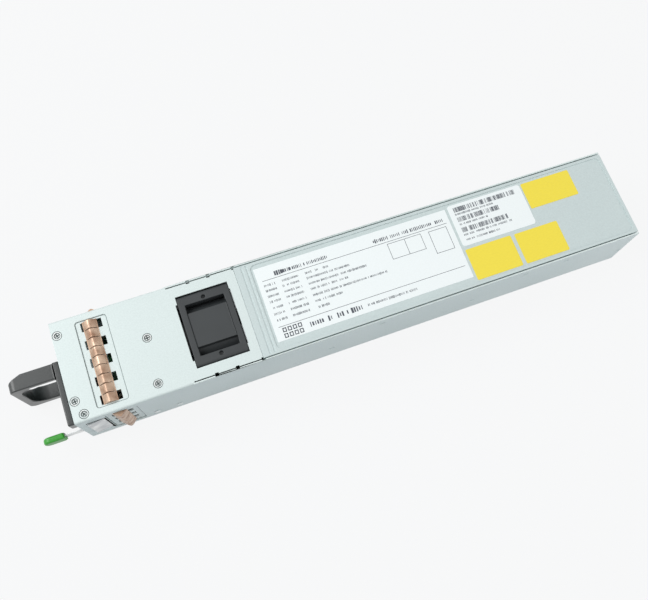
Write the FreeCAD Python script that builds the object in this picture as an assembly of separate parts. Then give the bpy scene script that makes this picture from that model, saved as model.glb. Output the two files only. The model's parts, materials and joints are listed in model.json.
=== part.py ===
import FreeCAD, Part
import math
import os

# Hot swap server power supply, in millimetres.
# +X runs from the handle end to the connector end, +Y to the far side, +Z up.
# The origin is the centre of the case's underside.

# ---------------------------------------------------------------- case
CASE_LENGTH = 321.5
CASE_WIDTH = 54.5
CASE_HEIGHT = 40.0
SHEET = 0.8                 # steel sheet of every case part
SEAM = 0.6                  # gap beside a panel that lies between the side walls
FIT = 0.1                   # clearance of a flat part that slides into place
RUNNING_FIT = 0.05          # radial clearance of a screw or a shaft in its hole
BEND_RADIUS = 1.2
DECK_BEND_LENGTH = 60.5     # where the deck's long bends stop
HOOK_HOLE = 1.9             # square holes beside the deck's hooks
HOOK_HOLES_AT = (72.3, 83.3)

# ---------------------------------------------------------------- contact strips
GASKET_WIDTH = 7.3
GASKET_HEIGHT = 3.0
GASKET_SHEET = 0.2
GASKET_FOOT = 0.9
GASKET_RIDGE = 1.1          # width of the rounded ridge of each finger
FINGER_GAP = 0.45
RECESS_DEPTH = 0.55
RECESS_FRONT_MARGIN = 3.7
RECESS_REAR_MARGIN = 5.2
RECESS_END_MARGIN = 0.9
RECESS_RADIUS = 1.5
TOP_GASKET_AT = 15.8        # front edge of the strip, from the case's front
TOP_GASKET_LENGTH = 44.7
TOP_GASKET_FINGERS = 9
TOP_GASKET_SLOTS = 5
TOP_SLOT_PITCH = 9.83
SIDE_GASKET_AT = 17.5
SIDE_GASKET_LENGTH = 32.0
SIDE_GASKET_FINGERS = 6
SIDE_GASKET_SLOTS = 3
SIDE_SLOT_PITCH = 9.0
SLOT_LENGTH = 4.8
FRONT_SLOT_WIDTH = 1.05     # part of a slot that stays open in front of the strip
REAR_SLOT_WIDTH = 2.3
SLOT_LAP = 0.8              # part of a slot that lies under the strip

# ---------------------------------------------------------------- screws
SCREW_SHANK = 2.9
SCREW_HEAD = 5.0
SCREW_HEAD_HEIGHT = 1.0
SCREW_LENGTH = 4.0
CROSS_LENGTH = 2.7
CROSS_WIDTH = 0.6
CROSS_DEPTH = 0.7
# Deck screws: distance from the case's front, then share of its width from the near side.
PANEL_SCREWS_AT = ((2.9, 0.2055), (2.75, 0.855), (5.6, 0.068))
BRACKET_SCREWS_AT = ((43.4, 0.1175), (44.6, 0.569))
RIVET_HEAD = 3.4
RIVET_SHANK = 2.0
RIVET_HEAD_HEIGHT = 0.4
BASE_RIVETS_AT = (36.5, 48.5)
BASE_RIVET_HEIGHT = 7.5

# ---------------------------------------------------------------- cover
COVER_FLANGE = 8.0
COVER_TONGUE = 4.0
COVER_RIB_AT = 3.7          # first pressed rib, from the cover's front edge
COVER_RIB_PITCH = 2.6
COVER_RIB_WIDTH = 1.0
COVER_RIB_DEPTH = 0.3
PANEL_RECESS = 0.5          # depth of the pressed label field
PANEL_FRONT = 8.4           # field's front edge, from the cover's front edge
PANEL_REAR = 1.8
PANEL_SIDE = 3.0
PANEL_RADIUS = 3.0
COVER_HOOKS_AT = (0.2962, 0.6842, 0.8)       # shares of the cover's length
COVER_HOOK_BELOW = 7.5      # below the top face, both hook and window
HOOK_LENGTH = 3.0
HOOK_HEIGHT = 1.4
HOOK_SINK = 0.5             # from a wall's outer face to the hooks in its windows

# ---------------------------------------------------------------- labels
LABEL_SHEET = 0.15
LABEL_RADIUS = 1.6
# Start, near edge, length and width, as shares of the cover's length and width.
RATING_LABEL = (0.0437, 0.1229, 0.5016, 0.7761)
SERIAL_LABEL = (0.5523, 0.4569, 0.2036, 0.4642)
YELLOW_LABELS = ((0.5523, 0.0752, 0.1247, 0.3431), (0.6873, 0.0752, 0.1203, 0.3395),
                 (0.7604, 0.6202, 0.1372, 0.2954))

# ---------------------------------------------------------------- base plate
BASE_FLANGE_START = 33.0
BASE_FLANGE_LOW = 9.8       # height of the flanges under the deck
BASE_FLANGE_HIGH = 17.0     # height of the flanges under the cover
BASE_FLANGE_END = 1.0
BASE_HOOKS_AT = (0.4218, 0.6883, 0.9907)     # shares of the case's length
BASE_HOOK_HEIGHT = 14.0

# ---------------------------------------------------------------- fan
FAN_SIZE = 39.6
FAN_DEPTH = 27.6
FAN_WINDOW_GAP = 0.2
FAN_AT = 63.95              # fan's front face, from the case's front
DECK_BEHIND_FAN = 5.45      # the front deck ends this far behind the fan
FAN_BORE = 37.6
FAN_FLANGE = 3.4
FAN_WAIST = 1.0             # how much slimmer the barrel is than the flanges
FAN_PAD = 19.0              # flat middle of each side of the frame
FAN_PAD_SINK = 0.15         # how far that flat lies below the flanges
FAN_POST = 5.6              # square corner posts between the flanges
FAN_DIMPLE = 2.2            # moulding holes half way along each post
FAN_DIMPLE_DEPTH = 1.8
FAN_CORNER_RADIUS = 2.0
FAN_SCREW_PITCH = 32.0
FAN_HUB = 22.0
FAN_TIP_GAP = 0.6
FAN_BLADES = 7
FAN_BLADE_ANGLE = 36.0
FAN_BLADE_CHORD = 17.0
FAN_BLADE_SHEET = 1.1
FAN_SHAFT = 2.0
FAN_ROTOR_LENGTH = 20.0
FAN_STRUT_LENGTH = 4.0
FAN_STRUT_WIDTH = 2.4
WINDOW_EXTRA_FRONT = 0.9
WINDOW_EXTRA_REAR = 0.5
WINDOW_EXTRA_END = 4.3      # the widened part stops this far from the window's ends
GUARD_WIRE = 1.2
GUARD_RINGS = 3

# ---------------------------------------------------------------- front
PLATE_GAP = 0.3
BEZEL_THICKNESS = 3.3
BEZEL_WIDTH = 33.9
BEZEL_SHOULDER = 31.0       # below this the bezel is open beside the inlet, for the latch
BEZEL_NEAR_GAP = 0.4
BEZEL_HEIGHT = 38.4
HANDLE_WIDTH = 8.2
HANDLE_REACH = 26.2
HANDLE_HEIGHT = 38.0
HANDLE_TOP_RIM = 3.0
HANDLE_LOW_RIM = 5.0
HANDLE_TIP_RIM = 3.8
HANDLE_RADIUS = 3.6
HANDLE_HOLE_RADIUS = 8.0
HANDLE_BEVEL = 7.0
HANDLE_BEVEL_DEPTH = 2.8
INLET_FLANGE_WIDTH = 21.0
INLET_FLANGE_HEIGHT = 30.0
INLET_FLANGE_THICKNESS = 2.5
INLET_NEAR = 4.4            # near edge of the inlet's flange, from the near wall's face
INLET_MOUTH_WIDTH = 16.5
INLET_MOUTH_HEIGHT = 24.0
INLET_MOUTH_CHAMFER = 4.2
INLET_WALL = 1.5
INLET_DEPTH = 17.0
INLET_BACK = 3.0
PIN_WIDTH = 4.0
PIN_THICKNESS = 2.0
PIN_PITCH = 14.0
PIN_EARTH_OFFSET = 4.0
PIN_TIP_DEPTH = 5.0         # from the flange's face down to the pins' tips
PIN_TAIL = 3.0
VENT_HOLE = 3.2
VENT_PITCH = 4.1
VENT_COLUMNS = 4
VENT_ROWS = 8
LIGHT_PIPE = 2.6

# ---------------------------------------------------------------- latch
STRIP_THICKNESS = 0.5
STRIP_HEIGHT = 12.0
STRIP_BOTTOM = 8.0
STRIP_INSET = 1.7           # outer face of the strip, from the near wall's face
STRIP_REACH = 13.5          # how far it stands out in front of the case
STRIP_NECK_HEIGHT = 5.5     # height of the part in front of the case
STRIP_PIVOT_AT = 34.5
STRIP_TAIL = 3.0
STRIP_PLAY = 0.3            # play of the strip's tail between its seat and the rivet heads
LATCH_HOOK_FRONT = 4.6
LATCH_HOOK_LENGTH = 8.4
LATCH_HOOK_BOTTOM = 10.0
LATCH_HOOK_TOP = 33.0
LATCH_HOOK_OUT = 1.2
LATCH_HOOK_MARGIN = 0.6     # from the hook to the edge of its window
LATCH_WING = 1.4            # strip left above the hook and at its ends
TAB_LENGTH = 11.0
TAB_OVERLAP = 3.0
TAB_HEIGHT = 7.5
TAB_THICKNESS = 3.4
TAB_ROUND = 3.5

# ---------------------------------------------------------------- boards and what they carry
BOARD_SHEET = 1.6
BOARD_SIDE_GAP = 1.4        # from a side wall's inner face
STANDOFF_HEIGHT = 3.2
STANDOFF_WIDTH = 5.0
STANDOFF_MARGIN = 1.3       # from a standoff to the board's end
BOARD_FRONT = 19.0
BOARD_NOTCH_GAP = 1.5       # between the fan and the board around it
BOARD_FAN_GAP = 0.65        # from the fan's side to the board beside it
BOARD_REAR_GAP = 8.5
BULKHEAD_GAP = 0.4
CONNECTOR_SIDE_GAP = 5.55   # from the board's side edges
CONNECTOR_HEIGHT = 13.0
CONNECTOR_LENGTH = 20.0
CONNECTOR_OUT = 3.2         # how far it stands out behind the case
CONNECTOR_WALL = 1.6
CONNECTOR_MOUTH_DEPTH = 10.0
BLADE_COUNT = 8
BLADE_END_GAP = 2.1         # from the end blades to the connector's outer sides
BLADE_SHEET = 1.2
BLADE_HEIGHT = 6.5
BLADE_RECESS = 4.8          # from the mouth down to the blades' tips
BLADE_TAIL = 4.0
REAR_VENT_ROWS = 3
REAR_VENT_COLUMNS = 10
BOARD_SCREW = 2.4
BOARD_SCREW_HEAD = 4.2
BOARD_SCREW_HEAD_HEIGHT = 1.4
INSULATION = 0.3

# ---------------------------------------------------------------- electronic parts
# Blocks are length, width, height; cans are diameter and height; rings are
# outer diameter, bore and height. They are sizes for a board with this much room;
# on another board they grow or shrink with it.
FILTER_ROOM = 41.25         # length of the board in front of the fan
MAIN_ROOM = 218.75          # length of the board behind the fan
ACROSS_ROOM = 50.1
CHOKE_WIRE = 1.2
FILTER_CHOKE = (17.0, 8.0, 15.0)
FILTER_CHOKE_TURNS = 18
X_CAPACITOR = (15.0, 7.0, 14.0)
Y_CAPACITOR = (7.0, 3.0)
FUSE = (5.0, 18.0)
BRACKET_WIDTH = 8.0
RELAY = (15.0, 10.5, 15.0)
THERMISTOR = (11.0, 4.0)
BRIDGE = (4.6, 20.0, 17.0)
BULK_CAPACITOR = (27.0, 42.0)
CAN_GROOVE = 1.2
PFC_CHOKE = (26.0, 11.0, 13.0)
PFC_CHOKE_TURNS = 28
OUTPUT_CHOKE = (22.0, 9.0, 13.0)
OUTPUT_CHOKE_TURNS = 20
PRIMARY_HEATSINK = (52.0, 12.0, 27.0)
SECONDARY_HEATSINK = (34.0, 12.0, 27.0)
HEATSINK_PLATE = 2.4
HEATSINK_FIN = 1.2
HEATSINK_FIN_PITCH = 4.0
TRANSISTOR = (10.0, 4.4, 15.0)
TRANSISTOR_LEG = 4.0
LEG_WIDTH = 0.8
LEG_PITCH = 2.54
PRIMARY_TRANSISTORS = 4
SECONDARY_TRANSISTORS = 3
TRANSFORMER = (24.0, 30.0, 26.0)
TRANSFORMER_LEG = 6.0
TRANSFORMER_OVERHANG = 3.0
STANDBY_TRANSFORMER = (11.0, 9.0, 15.0)
CONTROL_BOARD = (28.0, 1.2, 26.0)
OUTPUT_CAPACITOR = (8.0, 20.0)
OUTPUT_CAPACITOR_GAP = 1.2
OUTPUT_CAPACITOR_COLUMNS = 3
OUTPUT_CAPACITOR_ROWS = 3
BUSBAR = (32.0, 1.5, 10.0)
BUSBAR_MARGIN = 1.5         # from a standoff's side

# Where each part stands: shares of the board's length and width.
FILTER_PLACES = {
    "choke_a": (0.46, 0.24),
    "choke_b": (0.78, 0.82),
    "x_capacitor_a": (0.74, 0.49),
    "x_capacitor_b": (0.36, 0.75),
    "y_capacitors": (0.36, 0.93),
    "fuse": (0.765, 0.22),
}
PLACES = {
    "relay": (0.075, 0.80),
    "thermistor": (0.075, 0.42),
    "bridge_rectifier": (0.145, 0.80),
    "bulk_capacitor": (0.215, 0.32),
    "primary_heatsink": (0.31, 0.84),
    "pfc_inductor": (0.385, 0.30),
    "standby_transformer": (0.46, 0.86),
    "main_transformer": (0.525, 0.42),
    "control_board": (0.578, 0.06),
    "output_inductor": (0.665, 0.34),
    "secondary_heatsink": (0.665, 0.84),
    "output_capacitors": (0.815, 0.48),
    "busbars": (0.83, 0.5),
}

# ---------------------------------------------------------------- lights and fan lead
LIGHT_BOARD_MARGIN = 3.0
LED_SIZE = 2.0
LED_DEPTH = 1.0
LIGHT_PIPE_OUT = 0.8
FAN_LEAD = 1.6
LEAD_INSET = 2.0
LEAD_BELOW = 9.0
LEAD_STEP = 4.8
FAN_PLUG = (6.0, 7.5, 5.0)
HEADER_LENGTH = 4.0

# ---------------------------------------------------------------- places worked out from the sizes
V = FreeCAD.Vector
FRONT = -CASE_LENGTH / 2
REAR = CASE_LENGTH / 2
NEAR = -CASE_WIDTH / 2
FAR = CASE_WIDTH / 2
TOP = CASE_HEIGHT
CEILING = TOP - SHEET
FLOOR = SHEET
NEAR_WALL = NEAR + SHEET
FAR_WALL = FAR - SHEET
MIDDLE = CASE_HEIGHT / 2
FAN_FRONT = FRONT + FAN_AT
FAN_REAR = FAN_FRONT + FAN_DEPTH
DECK_REAR = FAN_REAR + DECK_BEHIND_FAN
BULKHEAD_FRONT = FAN_REAR + BULKHEAD_GAP
BULKHEAD_REAR = BULKHEAD_FRONT + SHEET
INLET_CENTRE = NEAR + INLET_NEAR + INLET_FLANGE_WIDTH / 2
HANDLE_NEAR = NEAR + INLET_NEAR + INLET_FLANGE_WIDTH + PLATE_GAP
BOARD_BOTTOM = FLOOR + STANDOFF_HEIGHT
BOARD_TOP = BOARD_BOTTOM + BOARD_SHEET
BOARD_NEAR = NEAR_WALL + BOARD_SIDE_GAP
BOARD_FAR = FAR_WALL - BOARD_SIDE_GAP
FILTER_REAR = FAN_FRONT - GUARD_WIRE - SCREW_HEAD_HEIGHT - BOARD_NOTCH_GAP
MAIN_FRONT = BULKHEAD_REAR + BOARD_NOTCH_GAP
MAIN_REAR = REAR - BOARD_REAR_GAP
ACROSS_SCALE = (BOARD_FAR - BOARD_NEAR) / ACROSS_ROOM
FILTER_SCALE = min((FILTER_REAR - FRONT - BOARD_FRONT) / FILTER_ROOM, ACROSS_SCALE)
MAIN_SCALE = min((MAIN_REAR - MAIN_FRONT) / MAIN_ROOM, ACROSS_SCALE)
STRIP_NEAR = NEAR + STRIP_INSET
STRIP_FAR = STRIP_NEAR + STRIP_THICKNESS
STRIP_TOP = STRIP_BOTTOM + STRIP_HEIGHT
PIVOT_X = FRONT + STRIP_PIVOT_AT


# ---------------------------------------------------------------- shared shapes
def block(x0, x1, y0, y1, z0, z1):
    return Part.makeBox(x1 - x0, y1 - y0, z1 - z0, V(x0, y0, z0))


def rod_x(x0, x1, y, z, radius):
    return Part.makeCylinder(radius, x1 - x0, V(x0, y, z), V(1, 0, 0))


def rod_y(y0, y1, x, z, radius):
    return Part.makeCylinder(radius, y1 - y0, V(x, y0, z), V(0, 1, 0))


def rod_z(z0, z1, x, y, radius):
    return Part.makeCylinder(radius, z1 - z0, V(x, y, z0), V(0, 0, 1))


def joined(shapes):
    whole = shapes[0].fuse(shapes[1:]) if len(shapes) > 1 else shapes[0]
    return whole.removeSplitter()


def group(shapes):
    return Part.makeCompound(shapes)


def edges_along(shape, axis):
    """The straight edges of a shape that run along one axis."""
    found = []
    for edge in shape.Edges:
        if len(edge.Vertexes) == 2:
            run = edge.Vertexes[1].Point.sub(edge.Vertexes[0].Point)
            if run.Length > 1e-6 and abs(run.normalize().dot(axis)) > 0.999:
                found.append(edge)
    return found


def rounded(shape, axis, radius):
    return shape.makeFillet(radius, edges_along(shape, axis))


def prism(points, start, direction):
    """A closed outline of corner points, pushed out along a direction."""
    corners = [V(*point) + start for point in points]
    outline = Part.makePolygon(corners + [corners[0]])
    return Part.Face(outline).extrude(direction)


def slots(count, pitch):
    """Places of a row, spread evenly about its middle."""
    return [(index - (count - 1) / 2) * pitch for index in range(count)]


# ---------------------------------------------------------------- screws and rivets
def screw(x, y):
    """A countersunk cross-head screw through the deck."""
    head = Part.makeCone(SCREW_SHANK / 2, SCREW_HEAD / 2, SCREW_HEAD_HEIGHT,
                         V(x, y, TOP - SCREW_HEAD_HEIGHT))
    shank = rod_z(TOP - SCREW_LENGTH, TOP - SCREW_HEAD_HEIGHT, x, y, SCREW_SHANK / 2)
    half, slim = CROSS_LENGTH / 2, CROSS_WIDTH / 2
    cross = block(x - half, x + half, y - slim, y + slim, TOP - CROSS_DEPTH, TOP + 1)
    cross = cross.fuse(block(x - slim, x + slim, y - half, y + half, TOP - CROSS_DEPTH, TOP + 1))
    return head.fuse(shank).cut(cross).removeSplitter()


def screw_hole(x, y):
    head = Part.makeCone(SCREW_SHANK / 2 + RUNNING_FIT, SCREW_HEAD / 2 + RUNNING_FIT,
                         SCREW_HEAD_HEIGHT, V(x, y, TOP - SCREW_HEAD_HEIGHT))
    shank = rod_z(TOP - SCREW_LENGTH - 1, TOP - SCREW_HEAD_HEIGHT, x, y,
                  SCREW_SHANK / 2 + RUNNING_FIT)
    return head.fuse(shank)


def deck_screw_places(places):
    return [(FRONT + from_front, NEAR + share * CASE_WIDTH) for from_front, share in places]


def deck_screws():
    return group([screw(x, y) for x, y in deck_screw_places(PANEL_SCREWS_AT + BRACKET_SCREWS_AT)])


def base_rivet_places():
    return [FRONT + place for place in BASE_RIVETS_AT]


def wall_rivet(x, side):
    """One rivet through a side wall and the base plate's flange; side is -1 or 1."""
    outer = side * (CASE_WIDTH / 2)
    inner = side * (CASE_WIDTH / 2 - 2 * SHEET)
    axis = V(0, side, 0)
    head = Part.makeCylinder(RIVET_HEAD / 2, RIVET_HEAD_HEIGHT, V(x, outer, BASE_RIVET_HEIGHT), axis)
    shank = Part.makeCylinder(RIVET_SHANK / 2, 2 * SHEET, V(x, inner, BASE_RIVET_HEIGHT), axis)
    foot = Part.makeCylinder(RIVET_HEAD / 2, RIVET_HEAD_HEIGHT, V(x, inner, BASE_RIVET_HEIGHT),
                             V(0, -side, 0))
    return joined([head, shank, foot])


def base_rivets():
    return group([wall_rivet(x, side) for x in base_rivet_places() for side in (-1, 1)])


def base_rivet_holes():
    holes = []
    for x in base_rivet_places():
        holes.append(rod_y(NEAR - 1, FAR + 1, x, BASE_RIVET_HEIGHT, RIVET_SHANK / 2 + RUNNING_FIT))
    return holes


# ---------------------------------------------------------------- contact strips
# A strip and its seat are drawn lying flat: x to the rear, y along the strip and
# z outwards, with z = 0 at the recess floor. seat_on then stands them on a case side.
def seat_on(shape, side, from_front, height):
    """Move a flat shape onto the top (0), the near wall (-1) or the far wall (1)."""
    placed = shape.copy()
    x = FRONT + from_front
    if side == 0:
        placed.translate(V(x, 0, TOP - RECESS_DEPTH))
    else:
        placed.rotate(V(0, 0, 0), V(1, 0, 0), -90 * side)
        placed.translate(V(x, side * (CASE_WIDTH / 2 - RECESS_DEPTH), height))
    return placed


def recess_outline(length, margin, z0, z1):
    plate = block(-RECESS_FRONT_MARGIN - margin, GASKET_WIDTH + RECESS_REAR_MARGIN + margin,
                  -length / 2 - RECESS_END_MARGIN - margin, length / 2 + RECESS_END_MARGIN + margin,
                  z0, z1)
    return rounded(plate, V(0, 0, 1), RECESS_RADIUS)


def recess_tray(length):
    """The pressed-in sheet that carries a strip."""
    return recess_outline(length, SHEET, -SHEET, 0)


def recess_cut(length, slot_count, pitch):
    """The recess itself and the slots that the strip clips into."""
    cut = recess_outline(length, 0, 0, RECESS_DEPTH + 1)
    tools = []
    for y in slots(slot_count, pitch):
        low, high = y - SLOT_LENGTH / 2, y + SLOT_LENGTH / 2
        tools.append(block(-FRONT_SLOT_WIDTH, SLOT_LAP, low, high, -SHEET - 1, 1))
        tools.append(block(GASKET_WIDTH - SLOT_LAP, GASKET_WIDTH + REAR_SLOT_WIDTH, low, high,
                           -SHEET - 1, 1))
    return cut.fuse(tools)


def finger_roof(inset):
    """The tent-shaped outline of a finger, drawn in by an inset."""
    middle = GASKET_WIDTH / 2
    top = GASKET_HEIGHT - inset
    shoulder = top - GASKET_RIDGE / 3
    left = V(GASKET_FOOT + inset, 0, 0)
    rise = V(middle - GASKET_RIDGE / 2 + inset / 3, 0, shoulder)
    fall = V(middle + GASKET_RIDGE / 2 - inset / 3, 0, shoulder)
    right = V(GASKET_WIDTH - GASKET_FOOT - inset, 0, 0)
    ridge = Part.Arc(rise, V(middle, 0, top), fall).toShape()
    edges = [Part.makeLine(left, rise), ridge, Part.makeLine(fall, right), Part.makeLine(right, left)]
    return Part.Face(Part.Wire(edges))


def contact_strip(length, fingers, slot_count, pitch):
    """A springy strip: two clipped edges and a row of arched fingers between them."""
    finger_pitch = length / fingers
    width = finger_pitch - FINGER_GAP
    pieces = []
    for y in slots(fingers, finger_pitch):
        outer = finger_roof(0).extrude(V(0, width, 0))
        inner = finger_roof(GASKET_SHEET).extrude(V(0, width, 0))
        finger = outer.cut(inner)
        finger.translate(V(0, y - width / 2, 0))
        pieces.append(finger)
    lap = GASKET_SHEET
    for x0, x1 in ((0, GASKET_FOOT + lap), (GASKET_WIDTH - GASKET_FOOT - lap, GASKET_WIDTH)):
        pieces.append(block(x0, x1, -length / 2, length / 2, 0, GASKET_SHEET))
    for y in slots(slot_count, pitch):
        half = SLOT_LENGTH / 2 - FINGER_GAP
        for x0 in (FIT, GASKET_WIDTH - FIT - GASKET_SHEET):
            pieces.append(block(x0, x0 + GASKET_SHEET, y - half, y + half, -SHEET - FIT, 0))
    return joined(pieces)


def top_strip():
    strip = contact_strip(TOP_GASKET_LENGTH, TOP_GASKET_FINGERS, TOP_GASKET_SLOTS, TOP_SLOT_PITCH)
    return seat_on(strip, 0, TOP_GASKET_AT, 0)


def side_strip(side):
    strip = contact_strip(SIDE_GASKET_LENGTH, SIDE_GASKET_FINGERS, SIDE_GASKET_SLOTS,
                          SIDE_SLOT_PITCH)
    return seat_on(strip, side, SIDE_GASKET_AT, MIDDLE)


# ---------------------------------------------------------------- case
def fan_window(z0, z1):
    """The opening that the fan stands in, a little wider along its middle."""
    near, far = -FAN_SIZE / 2 - FAN_WINDOW_GAP, FAN_SIZE / 2 + FAN_WINDOW_GAP
    front, rear = FAN_FRONT - FAN_WINDOW_GAP, FAN_REAR + FAN_WINDOW_GAP
    opening = block(front, rear, near, far, z0, z1)
    wide = block(front - WINDOW_EXTRA_FRONT, rear + WINDOW_EXTRA_REAR,
                 near + WINDOW_EXTRA_END, far - WINDOW_EXTRA_END, z0, z1)
    return opening.fuse(wide)


def latch_window():
    margin = LATCH_HOOK_MARGIN
    front = FRONT + LATCH_HOOK_FRONT - margin
    rear = FRONT + LATCH_HOOK_FRONT + LATCH_HOOK_LENGTH + margin
    return block(front, rear, NEAR - 1, NEAR_WALL + 1, LATCH_HOOK_BOTTOM - margin,
                 LATCH_HOOK_TOP + margin)


def cover_hook_places():
    return [DECK_REAR + share * (REAR - DECK_REAR) for share in COVER_HOOKS_AT]


def base_hook_places():
    return [FRONT + share * CASE_LENGTH for share in BASE_HOOKS_AT]


def wall_windows(places, bottom):
    """Small windows through both side walls, one pair for each hook."""
    half = HOOK_LENGTH / 2
    return [block(x - half, x + half, NEAR - 1, FAR + 1, bottom, bottom + HOOK_HEIGHT)
            for x in places]


def wall_hooks(places, bottom):
    """Hooks that reach from the flanges into the side walls' windows."""
    half = HOOK_LENGTH / 2 - FIT
    low, high = bottom + FIT, bottom + HOOK_HEIGHT - FIT
    hooks = []
    for x in places:
        hooks.append(block(x - half, x + half, NEAR + HOOK_SINK, NEAR_WALL + SEAM + SHEET, low, high))
        hooks.append(block(x - half, x + half, FAR_WALL - SEAM - SHEET, FAR - HOOK_SINK, low, high))
    return hooks


def chassis_shell():
    """The deck and both side walls, one bent sheet."""
    bend_end = FRONT + DECK_BEND_LENGTH
    channel = block(FRONT, bend_end, NEAR, FAR, 0, TOP)
    corners = [edge for edge in edges_along(channel, V(1, 0, 0))
               if edge.BoundBox.ZMin > TOP - 1e-6]
    channel = channel.makeFillet(BEND_RADIUS, corners)
    channel = channel.cut(block(FRONT - 1, bend_end + 1, NEAR_WALL, FAR_WALL, -1, CEILING))
    deck = block(bend_end - SHEET, DECK_REAR, NEAR_WALL + SEAM, FAR_WALL - SEAM, CEILING, TOP)
    near_side = block(bend_end - SHEET, REAR, NEAR, NEAR_WALL, 0, TOP)
    far_side = block(bend_end - SHEET, REAR, FAR_WALL, FAR, 0, TOP)
    shell = channel.fuse([deck, near_side, far_side])

    trays = [seat_on(recess_tray(TOP_GASKET_LENGTH), 0, TOP_GASKET_AT, 0)]
    cuts = [seat_on(recess_cut(TOP_GASKET_LENGTH, TOP_GASKET_SLOTS, TOP_SLOT_PITCH),
                    0, TOP_GASKET_AT, 0)]
    for side in (-1, 1):
        trays.append(seat_on(recess_tray(SIDE_GASKET_LENGTH), side, SIDE_GASKET_AT, MIDDLE))
        cuts.append(seat_on(recess_cut(SIDE_GASKET_LENGTH, SIDE_GASKET_SLOTS, SIDE_SLOT_PITCH),
                            side, SIDE_GASKET_AT, MIDDLE))
    shell = shell.fuse(trays)

    cuts.append(fan_window(CEILING - 1, TOP + 1))
    cuts.append(latch_window())
    for x, y in deck_screw_places(PANEL_SCREWS_AT + BRACKET_SCREWS_AT):
        cuts.append(screw_hole(x, y))
    for x in [FRONT + place for place in HOOK_HOLES_AT] + [DECK_REAR]:
        for seam in (NEAR_WALL, FAR_WALL - SEAM):
            cuts.append(block(x - HOOK_HOLE / 2, x + HOOK_HOLE / 2, seam - HOOK_HOLE / 3,
                              seam + SEAM + HOOK_HOLE / 3, CEILING - SHEET, TOP + 1))
    cuts.extend(wall_windows(cover_hook_places(), TOP - COVER_HOOK_BELOW))
    cuts.extend(wall_windows(base_hook_places(), BASE_HOOK_HEIGHT))
    cuts.extend(base_rivet_holes())
    return shell.cut(cuts).removeSplitter()


def base_plate():
    """The underside, with a flange that stands up inside each side wall."""
    plate = block(FRONT, REAR, NEAR_WALL + FIT, FAR_WALL - FIT, 0, FLOOR)
    start, end = FRONT + BASE_FLANGE_START, REAR - BASE_FLANGE_END
    pieces = []
    for near, far in ((NEAR_WALL, NEAR_WALL + SHEET), (FAR_WALL - SHEET, FAR_WALL)):
        pieces.append(block(start, end, near, far, 0, BASE_FLANGE_LOW))
        pieces.append(block(DECK_REAR, end, near, far, 0, BASE_FLANGE_HIGH))
    plate = plate.fuse(pieces)
    plate = plate.cut([fan_window(-1, FLOOR + 1)] + base_rivet_holes())
    return plate.fuse(wall_hooks(base_hook_places(), BASE_HOOK_HEIGHT)).removeSplitter()


def cover_field(margin, z0, z1):
    """The pressed field that carries the labels."""
    field = block(DECK_REAR + PANEL_FRONT - margin, REAR - PANEL_REAR + margin,
                  NEAR + PANEL_SIDE - margin, FAR - PANEL_SIDE + margin, z0, z1)
    return rounded(field, V(0, 0, 1), PANEL_RADIUS)


def top_cover():
    """The rear lid, which lies between the side walls and hooks under the deck."""
    near, far = NEAR_WALL + SEAM, FAR_WALL - SEAM
    lid = block(DECK_REAR + FIT, REAR, near, far, CEILING, TOP)
    tongue = block(DECK_REAR - COVER_TONGUE, DECK_REAR + 2 * SHEET, near + SHEET, far - SHEET,
                   CEILING - SHEET - FIT, CEILING - FIT)
    step = block(DECK_REAR + FIT, DECK_REAR + 2 * SHEET, near + SHEET, far - SHEET,
                 CEILING - SHEET, CEILING)
    near_flange = block(DECK_REAR + FIT, REAR, near, near + SHEET, TOP - COVER_FLANGE, CEILING)
    far_flange = block(DECK_REAR + FIT, REAR, far - SHEET, far, TOP - COVER_FLANGE, CEILING)
    lid = lid.fuse([tongue, step, near_flange, far_flange,
                    cover_field(SHEET, CEILING - PANEL_RECESS, CEILING)])
    cuts = [cover_field(0, TOP - PANEL_RECESS, TOP + 1)]
    for index in range(2):
        x = DECK_REAR + COVER_RIB_AT + index * COVER_RIB_PITCH
        cuts.append(block(x, x + COVER_RIB_WIDTH, near + SHEET, far - SHEET,
                          TOP - COVER_RIB_DEPTH, TOP + 1))
    lid = lid.cut(cuts)
    return lid.fuse(wall_hooks(cover_hook_places(), TOP - COVER_HOOK_BELOW)).removeSplitter()


# ---------------------------------------------------------------- front
def vent_places():
    """Centres of the air holes beside the handle."""
    middle = (HANDLE_NEAR + HANDLE_WIDTH + PLATE_GAP + FAR_WALL) / 2
    return [(middle + y, MIDDLE + z)
            for y in slots(VENT_COLUMNS, VENT_PITCH) for z in slots(VENT_ROWS, VENT_PITCH)
            if (y, z) not in light_pipe_spots()]


def light_pipe_spots():
    """The two places of the vent pattern, at its top, that hold light pipes instead."""
    columns = slots(VENT_COLUMNS, VENT_PITCH)
    top_row = slots(VENT_ROWS, VENT_PITCH)[-1]
    return [(columns[1], top_row), (columns[2], top_row)]


def light_pipe_places():
    middle = (HANDLE_NEAR + HANDLE_WIDTH + PLATE_GAP + FAR_WALL) / 2
    return [(middle + y, MIDDLE + z) for y, z in light_pipe_spots()]


def inlet_body_size():
    return INLET_MOUTH_WIDTH + 2 * INLET_WALL, INLET_MOUTH_HEIGHT + 2 * INLET_WALL


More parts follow.
